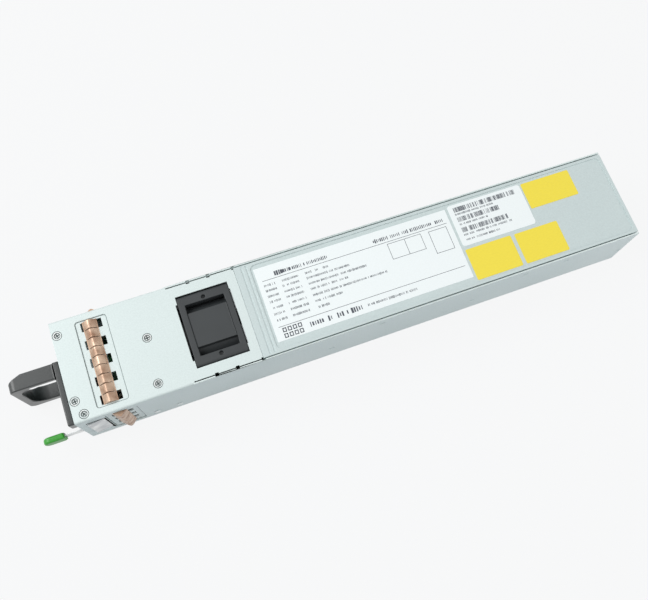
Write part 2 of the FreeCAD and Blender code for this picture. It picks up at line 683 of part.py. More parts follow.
def front_panel():
    """The front wall, with a flange under the deck that its screws hold."""
    panel = block(FRONT, FRONT + SHEET, NEAR_WALL, FAR_WALL, FLOOR, CEILING)
    flange = block(FRONT, FRONT + PANEL_SCREWS_AT[2][0] + SCREW_HEAD / 2, NEAR_WALL, FAR_WALL,
                   CEILING - SHEET, CEILING)
    panel = panel.fuse(flange)
    width, height = inlet_body_size()
    cuts = [block(FRONT - 1, FRONT + SHEET + 1, INLET_CENTRE - width / 2 - FIT,
                  INLET_CENTRE + width / 2 + FIT, MIDDLE - height / 2 - FIT, MIDDLE + height / 2 + FIT)]
    cuts.append(block(FRONT - 1, FRONT + SHEET + 1, NEAR_WALL - 1, NEAR + INLET_NEAR,
                      STRIP_BOTTOM - 1, STRIP_TOP + 1))
    for y, z in vent_places():
        cuts.append(rod_x(FRONT - 1, FRONT + SHEET + 1, y, z, VENT_HOLE / 2))
    for y, z in light_pipe_places():
        cuts.append(rod_x(FRONT - 1, FRONT + SHEET + 1, y, z, LIGHT_PIPE / 2 + RUNNING_FIT))
    for y, z in bezel_screw_places():
        cuts.append(rod_x(FRONT - 1, FRONT + SHEET + 1, y, z, RIVET_SHANK / 2 + RUNNING_FIT))
    for x, y in deck_screw_places(PANEL_SCREWS_AT):
        cuts.append(screw_hole(x, y))
    return panel.cut(cuts).removeSplitter()


def bezel_screw_places():
    y = HANDLE_NEAR + HANDLE_WIDTH / 2
    offset = HANDLE_HEIGHT / 4
    return [(y, MIDDLE - offset), (y, MIDDLE + offset)]


def bezel_screws():
    """Pan-head screws that hold the bezel to the front panel, inside the handle."""
    screws = []
    sunk = FRONT - BEZEL_THICKNESS + SCREW_HEAD_HEIGHT
    for y, z in bezel_screw_places():
        head = rod_x(sunk - SCREW_HEAD_HEIGHT, sunk, y, z, RIVET_HEAD / 2)
        shank = rod_x(sunk, FRONT + SHEET + SCREW_HEAD_HEIGHT, y, z, RIVET_SHANK / 2)
        half, slim = RIVET_SHANK / 2, CROSS_WIDTH / 2
        cross = block(sunk - SCREW_HEAD_HEIGHT - 1, sunk - SCREW_HEAD_HEIGHT / 2,
                      y - half, y + half, z - slim, z + slim)
        bar = block(sunk - SCREW_HEAD_HEIGHT - 1, sunk - SCREW_HEAD_HEIGHT / 2,
                    y - slim, y + slim, z - half, z + half)
        screws.append(head.fuse(shank).cut([cross, bar]).removeSplitter())
    return group(screws)


def handle_bezel():
    """The black bezel around the inlet, moulded in one piece with the pull handle."""
    back = FRONT
    face = FRONT - BEZEL_THICKNESS
    near = NEAR + BEZEL_NEAR_GAP
    bottom, top = MIDDLE - BEZEL_HEIGHT / 2, MIDDLE + BEZEL_HEIGHT / 2
    plate = rounded(block(face, back, near, near + BEZEL_WIDTH, bottom, top), V(1, 0, 0), 1.0)
    tip = FRONT - HANDLE_REACH
    low, high = MIDDLE - HANDLE_HEIGHT / 2, MIDDLE + HANDLE_HEIGHT / 2
    near_side, far_side = HANDLE_NEAR, HANDLE_NEAR + HANDLE_WIDTH
    loop = block(tip, face + SHEET, near_side, far_side, low, high)
    tips = [edge for edge in edges_along(loop, V(0, 1, 0)) if edge.BoundBox.XMax < tip + 1e-6]
    loop = loop.makeFillet(HANDLE_RADIUS, tips)
    hole = block(tip + HANDLE_TIP_RIM, face, near_side - 1, far_side + 1,
                 low + HANDLE_LOW_RIM, high - HANDLE_TOP_RIM)
    corners = [edge for edge in edges_along(hole, V(0, 1, 0))
               if edge.BoundBox.XMax < tip + HANDLE_TIP_RIM + 1e-6]
    hole = hole.makeFillet(HANDLE_HOLE_RADIUS, corners)
    bevel = prism([(0, 0, 0), (HANDLE_BEVEL, 0, 0), (0, -HANDLE_BEVEL_DEPTH, 0)],
                  V(tip, far_side, low - 1), V(0, 0, HANDLE_HEIGHT + 2))
    loop = loop.cut([hole, bevel])
    bezel = plate.fuse(loop)
    gap = PLATE_GAP
    cuts = [block(face - 1, back + 1, NEAR + INLET_NEAR - gap,
                  NEAR + INLET_NEAR + INLET_FLANGE_WIDTH + gap / 2,
                  MIDDLE - INLET_FLANGE_HEIGHT / 2 - gap, MIDDLE + INLET_FLANGE_HEIGHT / 2 + gap)]
    cuts.append(block(face - 1, back + 1, near - 1, NEAR + INLET_NEAR,
                      bottom - 1, BEZEL_SHOULDER))
    for y, z in bezel_screw_places():
        cuts.append(rod_x(face - 1, back + 1, y, z, RIVET_SHANK / 2 + RUNNING_FIT))
        cuts.append(rod_x(face - 1, face + SCREW_HEAD_HEIGHT, y, z, RIVET_HEAD / 2 + RUNNING_FIT))
    return bezel.cut(cuts).removeSplitter()


def inlet_mouth(x0, x1, margin):
    """The six-sided socket space: a rectangle with two corners cut off on its far side."""
    half_y = INLET_MOUTH_WIDTH / 2 - margin
    half_z = INLET_MOUTH_HEIGHT / 2 - margin
    cut = INLET_MOUTH_CHAMFER
    points = [(0, -half_y, -half_z), (0, half_y - cut, -half_z), (0, half_y, -half_z + cut),
              (0, half_y, half_z - cut), (0, half_y - cut, half_z), (0, -half_y, half_z)]
    return prism(points, V(x0, INLET_CENTRE, MIDDLE), V(x1 - x0, 0, 0))


def pin_places():
    """Middle of each contact pin; the earth pin stands towards the cut corners."""
    row = INLET_CENTRE - PIN_EARTH_OFFSET / 2
    return [(row, MIDDLE - PIN_PITCH / 2), (row + PIN_EARTH_OFFSET, MIDDLE), (row, MIDDLE + PIN_PITCH / 2)]


def ac_inlet_housing():
    """The three-pin AC inlet, standing upright behind its flange."""
    face = FRONT - INLET_FLANGE_THICKNESS
    bottom_of_socket = face + INLET_DEPTH
    width, height = inlet_body_size()
    flange = block(face, FRONT, INLET_CENTRE - INLET_FLANGE_WIDTH / 2,
                   INLET_CENTRE + INLET_FLANGE_WIDTH / 2,
                   MIDDLE - INLET_FLANGE_HEIGHT / 2, MIDDLE + INLET_FLANGE_HEIGHT / 2)
    flange = rounded(flange, V(1, 0, 0), 1.5)
    body = block(FRONT - SHEET, bottom_of_socket + INLET_BACK, INLET_CENTRE - width / 2,
                 INLET_CENTRE + width / 2, MIDDLE - height / 2, MIDDLE + height / 2)
    cuts = [inlet_mouth(face - 1, bottom_of_socket, 0)]
    for y, z in pin_places():
        cuts.append(block(bottom_of_socket - 1, bottom_of_socket + INLET_BACK + 1,
                          y - PIN_THICKNESS / 2, y + PIN_THICKNESS / 2,
                          z - PIN_WIDTH / 2, z + PIN_WIDTH / 2))
    return flange.fuse(body).cut(cuts).removeSplitter()


def inlet_pins():
    """Three flat pins that run back and turn down to the board."""
    tip = FRONT - INLET_FLANGE_THICKNESS + PIN_TIP_DEPTH
    housing_back = FRONT - INLET_FLANGE_THICKNESS + INLET_DEPTH + INLET_BACK
    pins = []
    for index, (y, z) in enumerate(pin_places()):
        leg = max(housing_back, FRONT + BOARD_FRONT) + PIN_TAIL * (index + 1)
        near, far = y - PIN_THICKNESS / 2, y + PIN_THICKNESS / 2
        blade = block(tip, leg, near, far, z - PIN_WIDTH / 2, z + PIN_WIDTH / 2)
        down = block(leg - PIN_THICKNESS, leg, near, far, BOARD_TOP, z)
        pins.append(joined([blade, down]))
    return group(pins)


# ---------------------------------------------------------------- latch
def latch_rivet_heights():
    middle = (BASE_FLANGE_LOW + FIT + STRIP_TOP) / 2
    return [middle + z for z in slots(2, STRIP_HEIGHT / 3)]


def latch_catch(front, out, inset):
    """The hook pressed out of the strip, flush with the wall at its rear end; an inset shrinks it
    to the hollow behind its sheet."""
    rear = LATCH_HOOK_LENGTH - inset
    base = STRIP_THICKNESS + 1 if inset else 0
    outline = [(inset, base, 0), (inset, out + inset, 0), (STRIP_THICKNESS + inset, out + inset, 0),
               (rear, inset - STRIP_INSET, 0), (rear, base, 0)]
    return prism(outline, V(front, STRIP_NEAR, LATCH_HOOK_BOTTOM + inset),
                 V(0, 0, LATCH_HOOK_TOP - LATCH_HOOK_BOTTOM - 2 * inset))


def latch_neck(rear):
    """The slim part of the strip that runs forward into the tab."""
    middle = (STRIP_BOTTOM + STRIP_TOP) / 2
    return block(FRONT - STRIP_REACH, rear, STRIP_NEAR, STRIP_FAR,
                 middle - STRIP_NECK_HEIGHT / 2, middle + STRIP_NECK_HEIGHT / 2)


def latch_spring():
    """The steel strip: it runs out beside the inlet and carries the catch."""
    hole = RIVET_SHANK / 2 + STRIP_PLAY
    front = FRONT + LATCH_HOOK_FRONT
    inside = block(front - LATCH_WING, PIVOT_X + STRIP_TAIL, STRIP_NEAR, STRIP_FAR,
                   STRIP_BOTTOM, STRIP_TOP)
    wing = block(front - LATCH_WING, front + LATCH_HOOK_LENGTH + LATCH_WING, STRIP_NEAR, STRIP_FAR,
                 STRIP_BOTTOM, LATCH_HOOK_TOP + LATCH_WING)
    strip = inside.fuse([latch_neck(front), wing])
    strip = strip.cut([rod_y(STRIP_NEAR - 1, STRIP_FAR + 1, PIVOT_X, z, hole)
                       for z in latch_rivet_heights()])
    flange_front = FRONT + BASE_FLANGE_START - STRIP_PLAY
    flange_top = BASE_FLANGE_LOW + STRIP_PLAY
    strip = strip.cut(block(flange_front, PIVOT_X + STRIP_TAIL + 1, STRIP_NEAR - 1, STRIP_FAR + 1,
                            STRIP_BOTTOM - 1, flange_top))
    out = -(LATCH_HOOK_OUT + STRIP_INSET)
    catch = latch_catch(front, out, 0)
    hollow = latch_catch(front, out, STRIP_THICKNESS)
    return strip.fuse(catch).cut(hollow).removeSplitter()


def latch_seat():
    """The pad between the near wall and the strip's tail."""
    pad = block(PIVOT_X - STRIP_TAIL, PIVOT_X + STRIP_TAIL, NEAR_WALL, STRIP_NEAR - STRIP_PLAY,
                BASE_FLANGE_LOW + FIT, STRIP_TOP)
    return pad.cut([rod_y(NEAR, FAR, PIVOT_X, z, RIVET_SHANK / 2 + RUNNING_FIT)
                    for z in latch_rivet_heights()])


def latch_rivets():
    """Two rivets that hold the strip's tail to the near wall."""
    rivets = []
    for z in latch_rivet_heights():
        shank = rod_y(NEAR_WALL, STRIP_FAR + STRIP_PLAY, PIVOT_X, z, RIVET_SHANK / 2)
        head = rod_y(STRIP_FAR + STRIP_PLAY, STRIP_FAR + STRIP_PLAY + RIVET_HEAD_HEIGHT,
                     PIVOT_X, z, RIVET_HEAD / 2)
        rivets.append(joined([shank, head]))
    return group(rivets)


def latch_tab():
    """The green thumb tab, moulded over the strip's end."""
    root = FRONT - STRIP_REACH + TAB_OVERLAP
    tip = root - TAB_LENGTH
    centre = (STRIP_NEAR + STRIP_FAR) / 2
    middle = (STRIP_BOTTOM + STRIP_TOP) / 2
    tab = block(tip, root, centre - TAB_THICKNESS / 2, centre + TAB_THICKNESS / 2,
                middle - TAB_HEIGHT / 2, middle + TAB_HEIGHT / 2)
    ends = [edge for edge in edges_along(tab, V(0, 1, 0)) if edge.BoundBox.XMax < tip + 1e-6]
    tab = tab.makeFillet(TAB_ROUND, ends)
    return tab.cut(latch_neck(FRONT))


# ---------------------------------------------------------------- fan
def fan_corners():
    half = FAN_SCREW_PITCH / 2
    return [(y, MIDDLE + z) for y in (-half, half) for z in (-half, half)]


def fan_frame():
    """A square frame: two flanges, a round barrel and the struts that hold the motor."""
    half = FAN_SIZE / 2
    envelope = rounded(block(FAN_FRONT, FAN_REAR, -half, half, MIDDLE - half, MIDDLE + half),
                       V(1, 0, 0), FAN_CORNER_RADIUS)
    flanges = []
    for x0, x1 in ((FAN_FRONT, FAN_FRONT + FAN_FLANGE), (FAN_REAR - FAN_FLANGE, FAN_REAR)):
        flanges.append(envelope.common(block(x0, x1, -half, half, MIDDLE - half, MIDDLE + half)))
    barrel = rod_x(FAN_FRONT, FAN_REAR, 0, MIDDLE, half - FAN_WAIST / 2)
    posts = []
    for y, z in fan_corners():
        y0, y1 = sorted((math.copysign(half, y), math.copysign(half - FAN_POST, y)))
        z0, z1 = sorted((math.copysign(half, z - MIDDLE), math.copysign(half - FAN_POST, z - MIDDLE)))
        post = block(FAN_FRONT, FAN_REAR, y0, y1, MIDDLE + z0, MIDDLE + z1)
        posts.append(post.common(envelope))
    flat = half - FAN_PAD_SINK
    pads = [block(FAN_FRONT, FAN_REAR, -FAN_PAD / 2, FAN_PAD / 2, MIDDLE - flat, MIDDLE + flat),
            block(FAN_FRONT, FAN_REAR, -flat, flat, MIDDLE - FAN_PAD / 2, MIDDLE + FAN_PAD / 2)]
    frame = flanges[0].fuse([flanges[1], barrel] + posts + pads)
    frame = frame.cut([rod_x(FAN_FRONT - 1, FAN_REAR + 1, 0, MIDDLE, FAN_BORE / 2)])
    motor = rod_x(FAN_REAR - FAN_STRUT_LENGTH, FAN_REAR, 0, MIDDLE, FAN_HUB / 2)
    struts = []
    for angle in (45, 135, 225, 315):
        strut = block(FAN_REAR - FAN_STRUT_LENGTH, FAN_REAR, 0, FAN_BORE / 2 + FAN_WAIST / 2,
                      MIDDLE - FAN_STRUT_WIDTH / 2, MIDDLE + FAN_STRUT_WIDTH / 2)
        strut.rotate(V(0, 0, MIDDLE), V(1, 0, 0), angle)
        struts.append(strut)
    frame = frame.fuse([motor] + struts)
    holes = [rod_x(FAN_FRONT - 1, FAN_REAR + 1, y, z, SCREW_SHANK / 2 + RUNNING_FIT)
             for y, z in fan_corners()]
    for y, z in fan_corners():
        holes.append(rod_z(MIDDLE - half - 1, MIDDLE - half + FAN_DIMPLE_DEPTH, (FAN_FRONT + FAN_REAR) / 2,
                           y, FAN_DIMPLE / 2))
        holes.append(rod_z(MIDDLE + half - FAN_DIMPLE_DEPTH, MIDDLE + half + 1,
                           (FAN_FRONT + FAN_REAR) / 2, y, FAN_DIMPLE / 2))
    shaft = rod_x(FAN_FRONT, FAN_REAR - SHEET, 0, MIDDLE, FAN_SHAFT / 2 + RUNNING_FIT)
    return frame.cut(holes + [shaft]).removeSplitter()


def fan_rotor():
    """The hub with its shaft and slanted blades."""
    front = FAN_FRONT + FAN_FLANGE / 2
    rear = front + FAN_ROTOR_LENGTH
    hub = rod_x(front, rear, 0, MIDDLE, FAN_HUB / 2 - FAN_TIP_GAP)
    shaft = rod_x(rear, FAN_REAR - 2 * SHEET, 0, MIDDLE, FAN_SHAFT / 2)
    tip_radius = FAN_BORE / 2 - FAN_TIP_GAP
    middle = (front + rear) / 2
    blades = []
    for index in range(FAN_BLADES):
        blade = block(middle - FAN_BLADE_CHORD / 2, middle + FAN_BLADE_CHORD / 2,
                      -FAN_BLADE_SHEET / 2, FAN_BLADE_SHEET / 2, MIDDLE + FAN_HUB / 4,
                      MIDDLE + FAN_BORE / 2 + 1)
        blade.rotate(V(middle, 0, MIDDLE), V(0, 0, 1), FAN_BLADE_ANGLE)
        blade.rotate(V(0, 0, MIDDLE), V(1, 0, 0), index * 360 / FAN_BLADES)
        blades.append(blade)
    sweep = rod_x(front, rear, 0, MIDDLE, tip_radius)
    blades = [blade.common(sweep) for blade in blades]
    return hub.fuse([shaft] + blades).removeSplitter()


def fan_bulkhead():
    """The upright sheet behind the fan that carries it."""
    plate = block(BULKHEAD_FRONT, BULKHEAD_REAR, NEAR_WALL + SHEET + FIT, FAR_WALL - SHEET - FIT,
                  FLOOR, CEILING - SHEET - 2 * FIT)
    cuts = [rod_x(BULKHEAD_FRONT - 1, BULKHEAD_REAR + 1, 0, MIDDLE, FAN_BORE / 2)]
    for y, z in fan_corners():
        cuts.append(rod_x(BULKHEAD_FRONT - 1, BULKHEAD_REAR + 1, y, z,
                          SCREW_SHANK / 2 + RUNNING_FIT))
    cuts.append(block(BULKHEAD_FRONT - 1, BULKHEAD_REAR + 1, FAN_SIZE / 2 + FAN_WINDOW_GAP, FAR,
                      BOARD_BOTTOM - PLATE_GAP, BOARD_TOP + PLATE_GAP))
    cuts.append(fan_lead_notch())
    return plate.cut(cuts).removeSplitter()


def fan_screws():
    """Long screws through the guard, the fan's corners and the bulkhead."""
    screws = []
    front = FAN_FRONT - GUARD_WIRE
    for y, z in fan_corners():
        head = rod_x(front - SCREW_HEAD_HEIGHT, front, y, z, SCREW_HEAD / 2)
        shank = rod_x(front, BULKHEAD_REAR + SCREW_HEAD_HEIGHT, y, z, SCREW_SHANK / 2)
        screws.append(joined([head, shank]))
    return group(screws)


def fan_guard():
    """A stamped finger guard: rings, four spokes and an eyelet under each screw head."""
    x0, x1 = FAN_FRONT - GUARD_WIRE, FAN_FRONT
    half = GUARD_WIRE / 2
    spacing = FAN_BORE / 2 / (GUARD_RINGS + 0.5)
    pieces = []
    for ring in range(1, GUARD_RINGS + 1):
        outer = rod_x(x0, x1, 0, MIDDLE, ring * spacing + half)
        pieces.append(outer.cut(rod_x(x0 - 1, x1 + 1, 0, MIDDLE, ring * spacing - half)))
    reach = math.hypot(FAN_SCREW_PITCH / 2, FAN_SCREW_PITCH / 2)
    for angle in (45, 135, 225, 315):
        spoke = block(x0, x1, spacing, reach, MIDDLE - half, MIDDLE + half)
        spoke.rotate(V(0, 0, MIDDLE), V(1, 0, 0), angle)
        pieces.append(spoke)
    for y, z in fan_corners():
        pieces.append(rod_x(x0, x1, y, z, SCREW_HEAD / 2))
    holes = [rod_x(x0 - 1, x1 + 1, y, z, SCREW_SHANK / 2 + RUNNING_FIT) for y, z in fan_corners()]
    return joined(pieces).cut(holes)


# ---------------------------------------------------------------- rear
def rear_panel():
    """The rear wall: air holes above the output connector."""
    panel = block(REAR - SHEET, REAR, NEAR_WALL, FAR_WALL, FLOOR, CEILING - PANEL_RECESS)
    panel = panel.cut([block(REAR - SHEET - 1, REAR + 1, NEAR_WALL - 1, NEAR_WALL + SEAM + SHEET + FIT,
                             TOP - COVER_FLANGE - FIT, TOP),
                       block(REAR - SHEET - 1, REAR + 1, FAR_WALL - SEAM - SHEET - FIT, FAR_WALL + 1,
                             TOP - COVER_FLANGE - FIT, TOP)])
    mouth = connector_box(FIT)
    top_of_mouth = mouth.BoundBox.ZMax
    rows = REAR_VENT_ROWS
    lowest = top_of_mouth + VENT_PITCH
    cuts = [mouth]
    for row in range(rows):
        for y in slots(REAR_VENT_COLUMNS, VENT_PITCH):
            cuts.append(rod_x(REAR - SHEET - 1, REAR + 1, y, lowest + row * VENT_PITCH, VENT_HOLE / 2))
    return panel.cut(cuts).removeSplitter()


def connector_box(margin):
    half = BOARD_FAR - CONNECTOR_SIDE_GAP + margin
    return block(REAR + CONNECTOR_OUT - CONNECTOR_LENGTH, REAR + CONNECTOR_OUT, -half, half,
                 BOARD_TOP, BOARD_TOP + CONNECTOR_HEIGHT + margin)


def blade_places():
    row = 2 * (BOARD_FAR - CONNECTOR_SIDE_GAP - BLADE_END_GAP) - BLADE_SHEET
    return slots(BLADE_COUNT, row / (BLADE_COUNT - 1))


def output_connector():
    """The blade connector's housing, open to the rear."""
    middle = BOARD_TOP + CONNECTOR_HEIGHT / 2
    face = REAR + CONNECTOR_OUT
    half_y = BOARD_FAR - CONNECTOR_SIDE_GAP - CONNECTOR_WALL
    half_z = CONNECTOR_HEIGHT / 2 - CONNECTOR_WALL
    cuts = [block(face - CONNECTOR_MOUTH_DEPTH, face + 1, -half_y, half_y,
                  middle - half_z, middle + half_z)]
    for y in blade_places():
        cuts.append(block(face - CONNECTOR_LENGTH - 1, face, y - BLADE_SHEET / 2, y + BLADE_SHEET / 2,
                          middle - BLADE_HEIGHT / 2, middle + BLADE_HEIGHT / 2))
    return connector_box(0).cut(cuts).removeSplitter()


def connector_blades():
    """The contacts; each runs forward through the housing and down to the board."""
    middle = BOARD_TOP + CONNECTOR_HEIGHT / 2
    front = REAR + CONNECTOR_OUT - CONNECTOR_LENGTH - BLADE_TAIL
    blades = []
    for y in blade_places():
        near, far = y - BLADE_SHEET / 2, y + BLADE_SHEET / 2
        blade = block(front, REAR + CONNECTOR_OUT - BLADE_RECESS, near, far,
                      middle - BLADE_HEIGHT / 2, middle + BLADE_HEIGHT / 2)
        foot = block(front, front + BLADE_TAIL - PLATE_GAP, near, far, BOARD_TOP, middle)
        blades.append(joined([blade, foot]))
    return group(blades)


# ---------------------------------------------------------------- boards
def on_board(name):
    """The middle of a piece on the rear board, as shares of the board's length and width."""
    along, across = PLACES[name]
    return (MAIN_FRONT + along * (MAIN_REAR - MAIN_FRONT),
            BOARD_NEAR + across * (BOARD_FAR - BOARD_NEAR))


def on_filter(name):
    """The middle of a piece on the board in front of the fan."""
    along, across = FILTER_PLACES[name]
    return (FRONT + BOARD_FRONT + along * (FILTER_REAR - FRONT - BOARD_FRONT),
            BOARD_NEAR + across * (BOARD_FAR - BOARD_NEAR))


def standoff_places():
    inset = STANDOFF_WIDTH / 2 + STANDOFF_MARGIN
    front_y = BOARD_FAR - STANDOFF_WIDTH / 2
    places = [(FRONT + BOARD_FRONT + inset, front_y), (FILTER_REAR - inset, BOARD_NEAR + inset)]
    for x in (MAIN_FRONT + inset, (MAIN_FRONT + MAIN_REAR) / 2, MAIN_REAR - inset):
        places.append((x, BOARD_NEAR + STANDOFF_WIDTH / 2))
        places.append((x, BOARD_FAR - STANDOFF_WIDTH / 2))
    return places


def main_board():
    """One board: the filter area in front, a neck beside the fan and the main area."""
    front_area = block(FRONT + BOARD_FRONT, FILTER_REAR, BOARD_NEAR, BOARD_FAR, BOARD_BOTTOM, BOARD_TOP)
    neck = block(FILTER_REAR - 1, MAIN_FRONT + 1, FAN_SIZE / 2 + BOARD_FAN_GAP, BOARD_FAR,
                 BOARD_BOTTOM, BOARD_TOP)
    main_area = block(MAIN_FRONT, MAIN_REAR, BOARD_NEAR, BOARD_FAR, BOARD_BOTTOM, BOARD_TOP)
    board = front_area.fuse([neck, main_area])
    holes = [rod_z(BOARD_BOTTOM - 1, BOARD_TOP + 1, x, y, BOARD_SCREW / 2 + RUNNING_FIT)
             for x, y in standoff_places()]
    return board.cut(holes).removeSplitter()


def board_standoffs():
    posts = []
    for x, y in standoff_places():
        half = STANDOFF_WIDTH / 2
        post = block(x - half, x + half, y - half, y + half, FLOOR, BOARD_BOTTOM)
        posts.append(post.cut(rod_z(FLOOR, BOARD_BOTTOM + 1, x, y, BOARD_SCREW / 2 + RUNNING_FIT)))
    return group(posts)


def board_screws():
    screws = []
    for x, y in standoff_places():
        head = rod_z(BOARD_TOP, BOARD_TOP + BOARD_SCREW_HEAD_HEIGHT, x, y, BOARD_SCREW_HEAD / 2)
        shank = rod_z(FLOOR + PLATE_GAP, BOARD_TOP, x, y, BOARD_SCREW / 2)
        screws.append(joined([head, shank]))
    return group(screws)


def insulation_sheet():
    """A plastic sheet on the base plate under the main area of the board."""
    sheet = block(MAIN_FRONT, MAIN_REAR, BOARD_NEAR, BOARD_FAR, FLOOR, FLOOR + INSULATION)
    half = STANDOFF_WIDTH / 2 + FIT
    return sheet.cut([block(x - half, x + half, y - half, y + half, 0, BOARD_BOTTOM)
                      for x, y in standoff_places()])


# ---------------------------------------------------------------- electronic parts
def filter_part(size):
    """A part's size on the board in front of the fan."""
    return [value * FILTER_SCALE for value in size]


def main_part(size):
    """A part's size on the board behind the fan."""
    return [value * MAIN_SCALE for value in size]


def brick(x, y, size):
    """A plain block part standing on the board, given its length, width and height."""
    length, width, height = size
    return block(x - length / 2, x + length / 2, y - width / 2, y + width / 2,
                 BOARD_TOP, BOARD_TOP + height)


def ring_choke(x, y, size, turns):
    """A wound ring lying on the board: a core with raised turns of wire."""
    outer, bore, height = size
    wire = CHOKE_WIRE
    core = rod_z(BOARD_TOP + wire, BOARD_TOP + height - wire, x, y, outer / 2 - wire)
    pieces = [core.cut(rod_z(BOARD_TOP, BOARD_TOP + height, x, y, bore / 2 + wire))]
    for index in range(turns):
        turn = block(bore / 2, outer / 2, -wire / 2, wire / 2, BOARD_TOP, BOARD_TOP + height)
        turn.rotate(V(0, 0, 0), V(0, 0, 1), index * 360 / turns)
        turn.translate(V(x, y, 0))
        pieces.append(turn)
    return joined(pieces)


def standing_can(x, y, diameter, height):
    """An upright electrolytic capacitor with its crimp groove and vent cross."""
    can = rod_z(BOARD_TOP, BOARD_TOP + height, x, y, diameter / 2)
    groove = rod_z(BOARD_TOP + CAN_GROOVE, BOARD_TOP + 2 * CAN_GROOVE, x, y, diameter)
    groove = groove.cut(rod_z(BOARD_TOP, BOARD_TOP + 3 * CAN_GROOVE, x, y, diameter / 2 - CAN_GROOVE / 2))
    top = BOARD_TOP + height
    half = diameter / 3
    vent = block(x - half, x + half, y - CAN_GROOVE / 4, y + CAN_GROOVE / 4, top - CAN_GROOVE / 4, top + 1)
    cross = block(x - CAN_GROOVE / 4, x + CAN_GROOVE / 4, y - half, y + half, top - CAN_GROOVE / 4, top + 1)
    return can.cut([groove, vent, cross])


def common_mode_choke(name):
    return ring_choke(*on_filter(name), filter_part(FILTER_CHOKE), FILTER_CHOKE_TURNS)


def x_capacitors():
    return group([brick(*on_filter(name), filter_part(X_CAPACITOR))
                  for name in ("x_capacitor_a", "x_capacitor_b")])


def y_capacitors():
    discs = []
    x, y = on_filter("y_capacitors")
    diameter, thickness = filter_part(Y_CAPACITOR)
    for step in slots(2, thickness * 2.5):
        disc = rod_x(x + step - thickness / 2, x + step + thickness / 2, y, BOARD_TOP + diameter / 2,
                     diameter / 2)
        foot = block(x + step - thickness / 2, x + step + thickness / 2, y - diameter / 4,
                     y + diameter / 4, BOARD_TOP, BOARD_TOP + diameter / 2)
        discs.append(joined([disc, foot]))
    return group(discs)


def fuse_link():
    """A glass fuse in two clips that stand on the board."""
    x, y = on_filter("fuse")
    diameter, length = filter_part(FUSE)
    height = BOARD_TOP + diameter
    glass = rod_y(y - length / 2, y + length / 2, x, height, diameter / 2)
    clips = []
    for side in (-1, 1):
        middle = y + side * (length / 2 - diameter / 2)
        clips.append(block(x - diameter / 2 - SHEET, x + diameter / 2 + SHEET, middle - diameter / 2,
                           middle + diameter / 2, BOARD_TOP, height + diameter / 2))
    return joined([glass] + clips)


def ground_bracket():
    """The sheet under the deck's two middle screws, with a leg down to the board."""
    near_screw, far_screw = deck_screw_places(BRACKET_SCREWS_AT)
    half = BRACKET_WIDTH / 2
    middle = (near_screw[0] + far_screw[0]) / 2
    edge = far_screw[1] + SCREW_HEAD / 2
    flange = block(middle - half, middle + half, near_screw[1] - SCREW_HEAD / 2, edge,
                   CEILING - SHEET, CEILING)
    leg = block(middle - half, middle + half, edge - SHEET, edge, BOARD_TOP, CEILING)
    cuts = [screw_hole(x, y) for x, y in (near_screw, far_screw)]
    return flange.fuse(leg).cut(cuts).removeSplitter()


def relay():
    return brick(*on_board("relay"), main_part(RELAY))


def thermistor():
    x, y = on_board("thermistor")
    diameter, thickness = main_part(THERMISTOR)
    disc = rod_x(x - thickness / 2, x + thickness / 2, y, BOARD_TOP + diameter / 2, diameter / 2)
    foot = block(x - thickness / 2, x + thickness / 2, y - diameter / 4, y + diameter / 4,
                 BOARD_TOP, BOARD_TOP + diameter / 2)
    return joined([disc, foot])


def bridge_rectifier():
    return brick(*on_board("bridge_rectifier"), main_part(BRIDGE))


def bulk_capacitor():
    """The large capacitor lying along the board, with a crimp groove near one end."""
    x, y = on_board("bulk_capacitor")
    diameter, length = main_part(BULK_CAPACITOR)
    z = BOARD_TOP + PLATE_GAP + diameter / 2
    can = rod_x(x - length / 2, x + length / 2, y, z, diameter / 2)
    start = x - length / 2 + 2 * CAN_GROOVE
    groove = rod_x(start, start + CAN_GROOVE, y, z, diameter)
    groove = groove.cut(rod_x(start - 1, start + CAN_GROOVE + 1, y, z, diameter / 2 - CAN_GROOVE / 2))
    return can.cut(groove)


def pfc_inductor():
    return ring_choke(*on_board("pfc_inductor"), main_part(PFC_CHOKE), PFC_CHOKE_TURNS)


def output_inductor():
    return ring_choke(*on_board("output_inductor"), main_part(OUTPUT_CHOKE), OUTPUT_CHOKE_TURNS)


def heatsink(name, size):
    """An upright plate with fins towards the far wall."""
    x, y = on_board(name)
    length, depth, height = main_part(size)
    plate = block(x - length / 2, x + length / 2, y - depth / 2, y - depth / 2 + HEATSINK_PLATE,
                  BOARD_TOP, BOARD_TOP + height)
    fins = []
    for place in slots(int(length // HEATSINK_FIN_PITCH), HEATSINK_FIN_PITCH):
        fins.append(block(x + place - HEATSINK_FIN / 2, x + place + HEATSINK_FIN / 2,
                          y - depth / 2 + HEATSINK_PLATE, y + depth / 2, BOARD_TOP + 1,
                          BOARD_TOP + height))
    return plate.fuse(fins).removeSplitter()


def transistors(name, size, count):
    """Flat-backed transistors against the near face of a heatsink, legs on the board."""
    x, y = on_board(name)
    length, depth, _ = main_part(size)
    face = y - depth / 2
    width, thickness, tall = main_part(TRANSISTOR)
    pieces = []
    for place in slots(count, length / count):
        lift = BOARD_TOP + TRANSISTOR_LEG
        body = block(x + place - width / 2, x + place + width / 2, face - thickness, face,
                     lift, lift + tall)
        legs = [block(x + place + leg - LEG_WIDTH / 2, x + place + leg + LEG_WIDTH / 2,
                      face - thickness / 2 - LEG_WIDTH / 2, face - thickness / 2 + LEG_WIDTH / 2,
                      BOARD_TOP, lift + 1) for leg in slots(3, LEG_PITCH)]
        pieces.append(joined([body] + legs))
    return group(pieces)


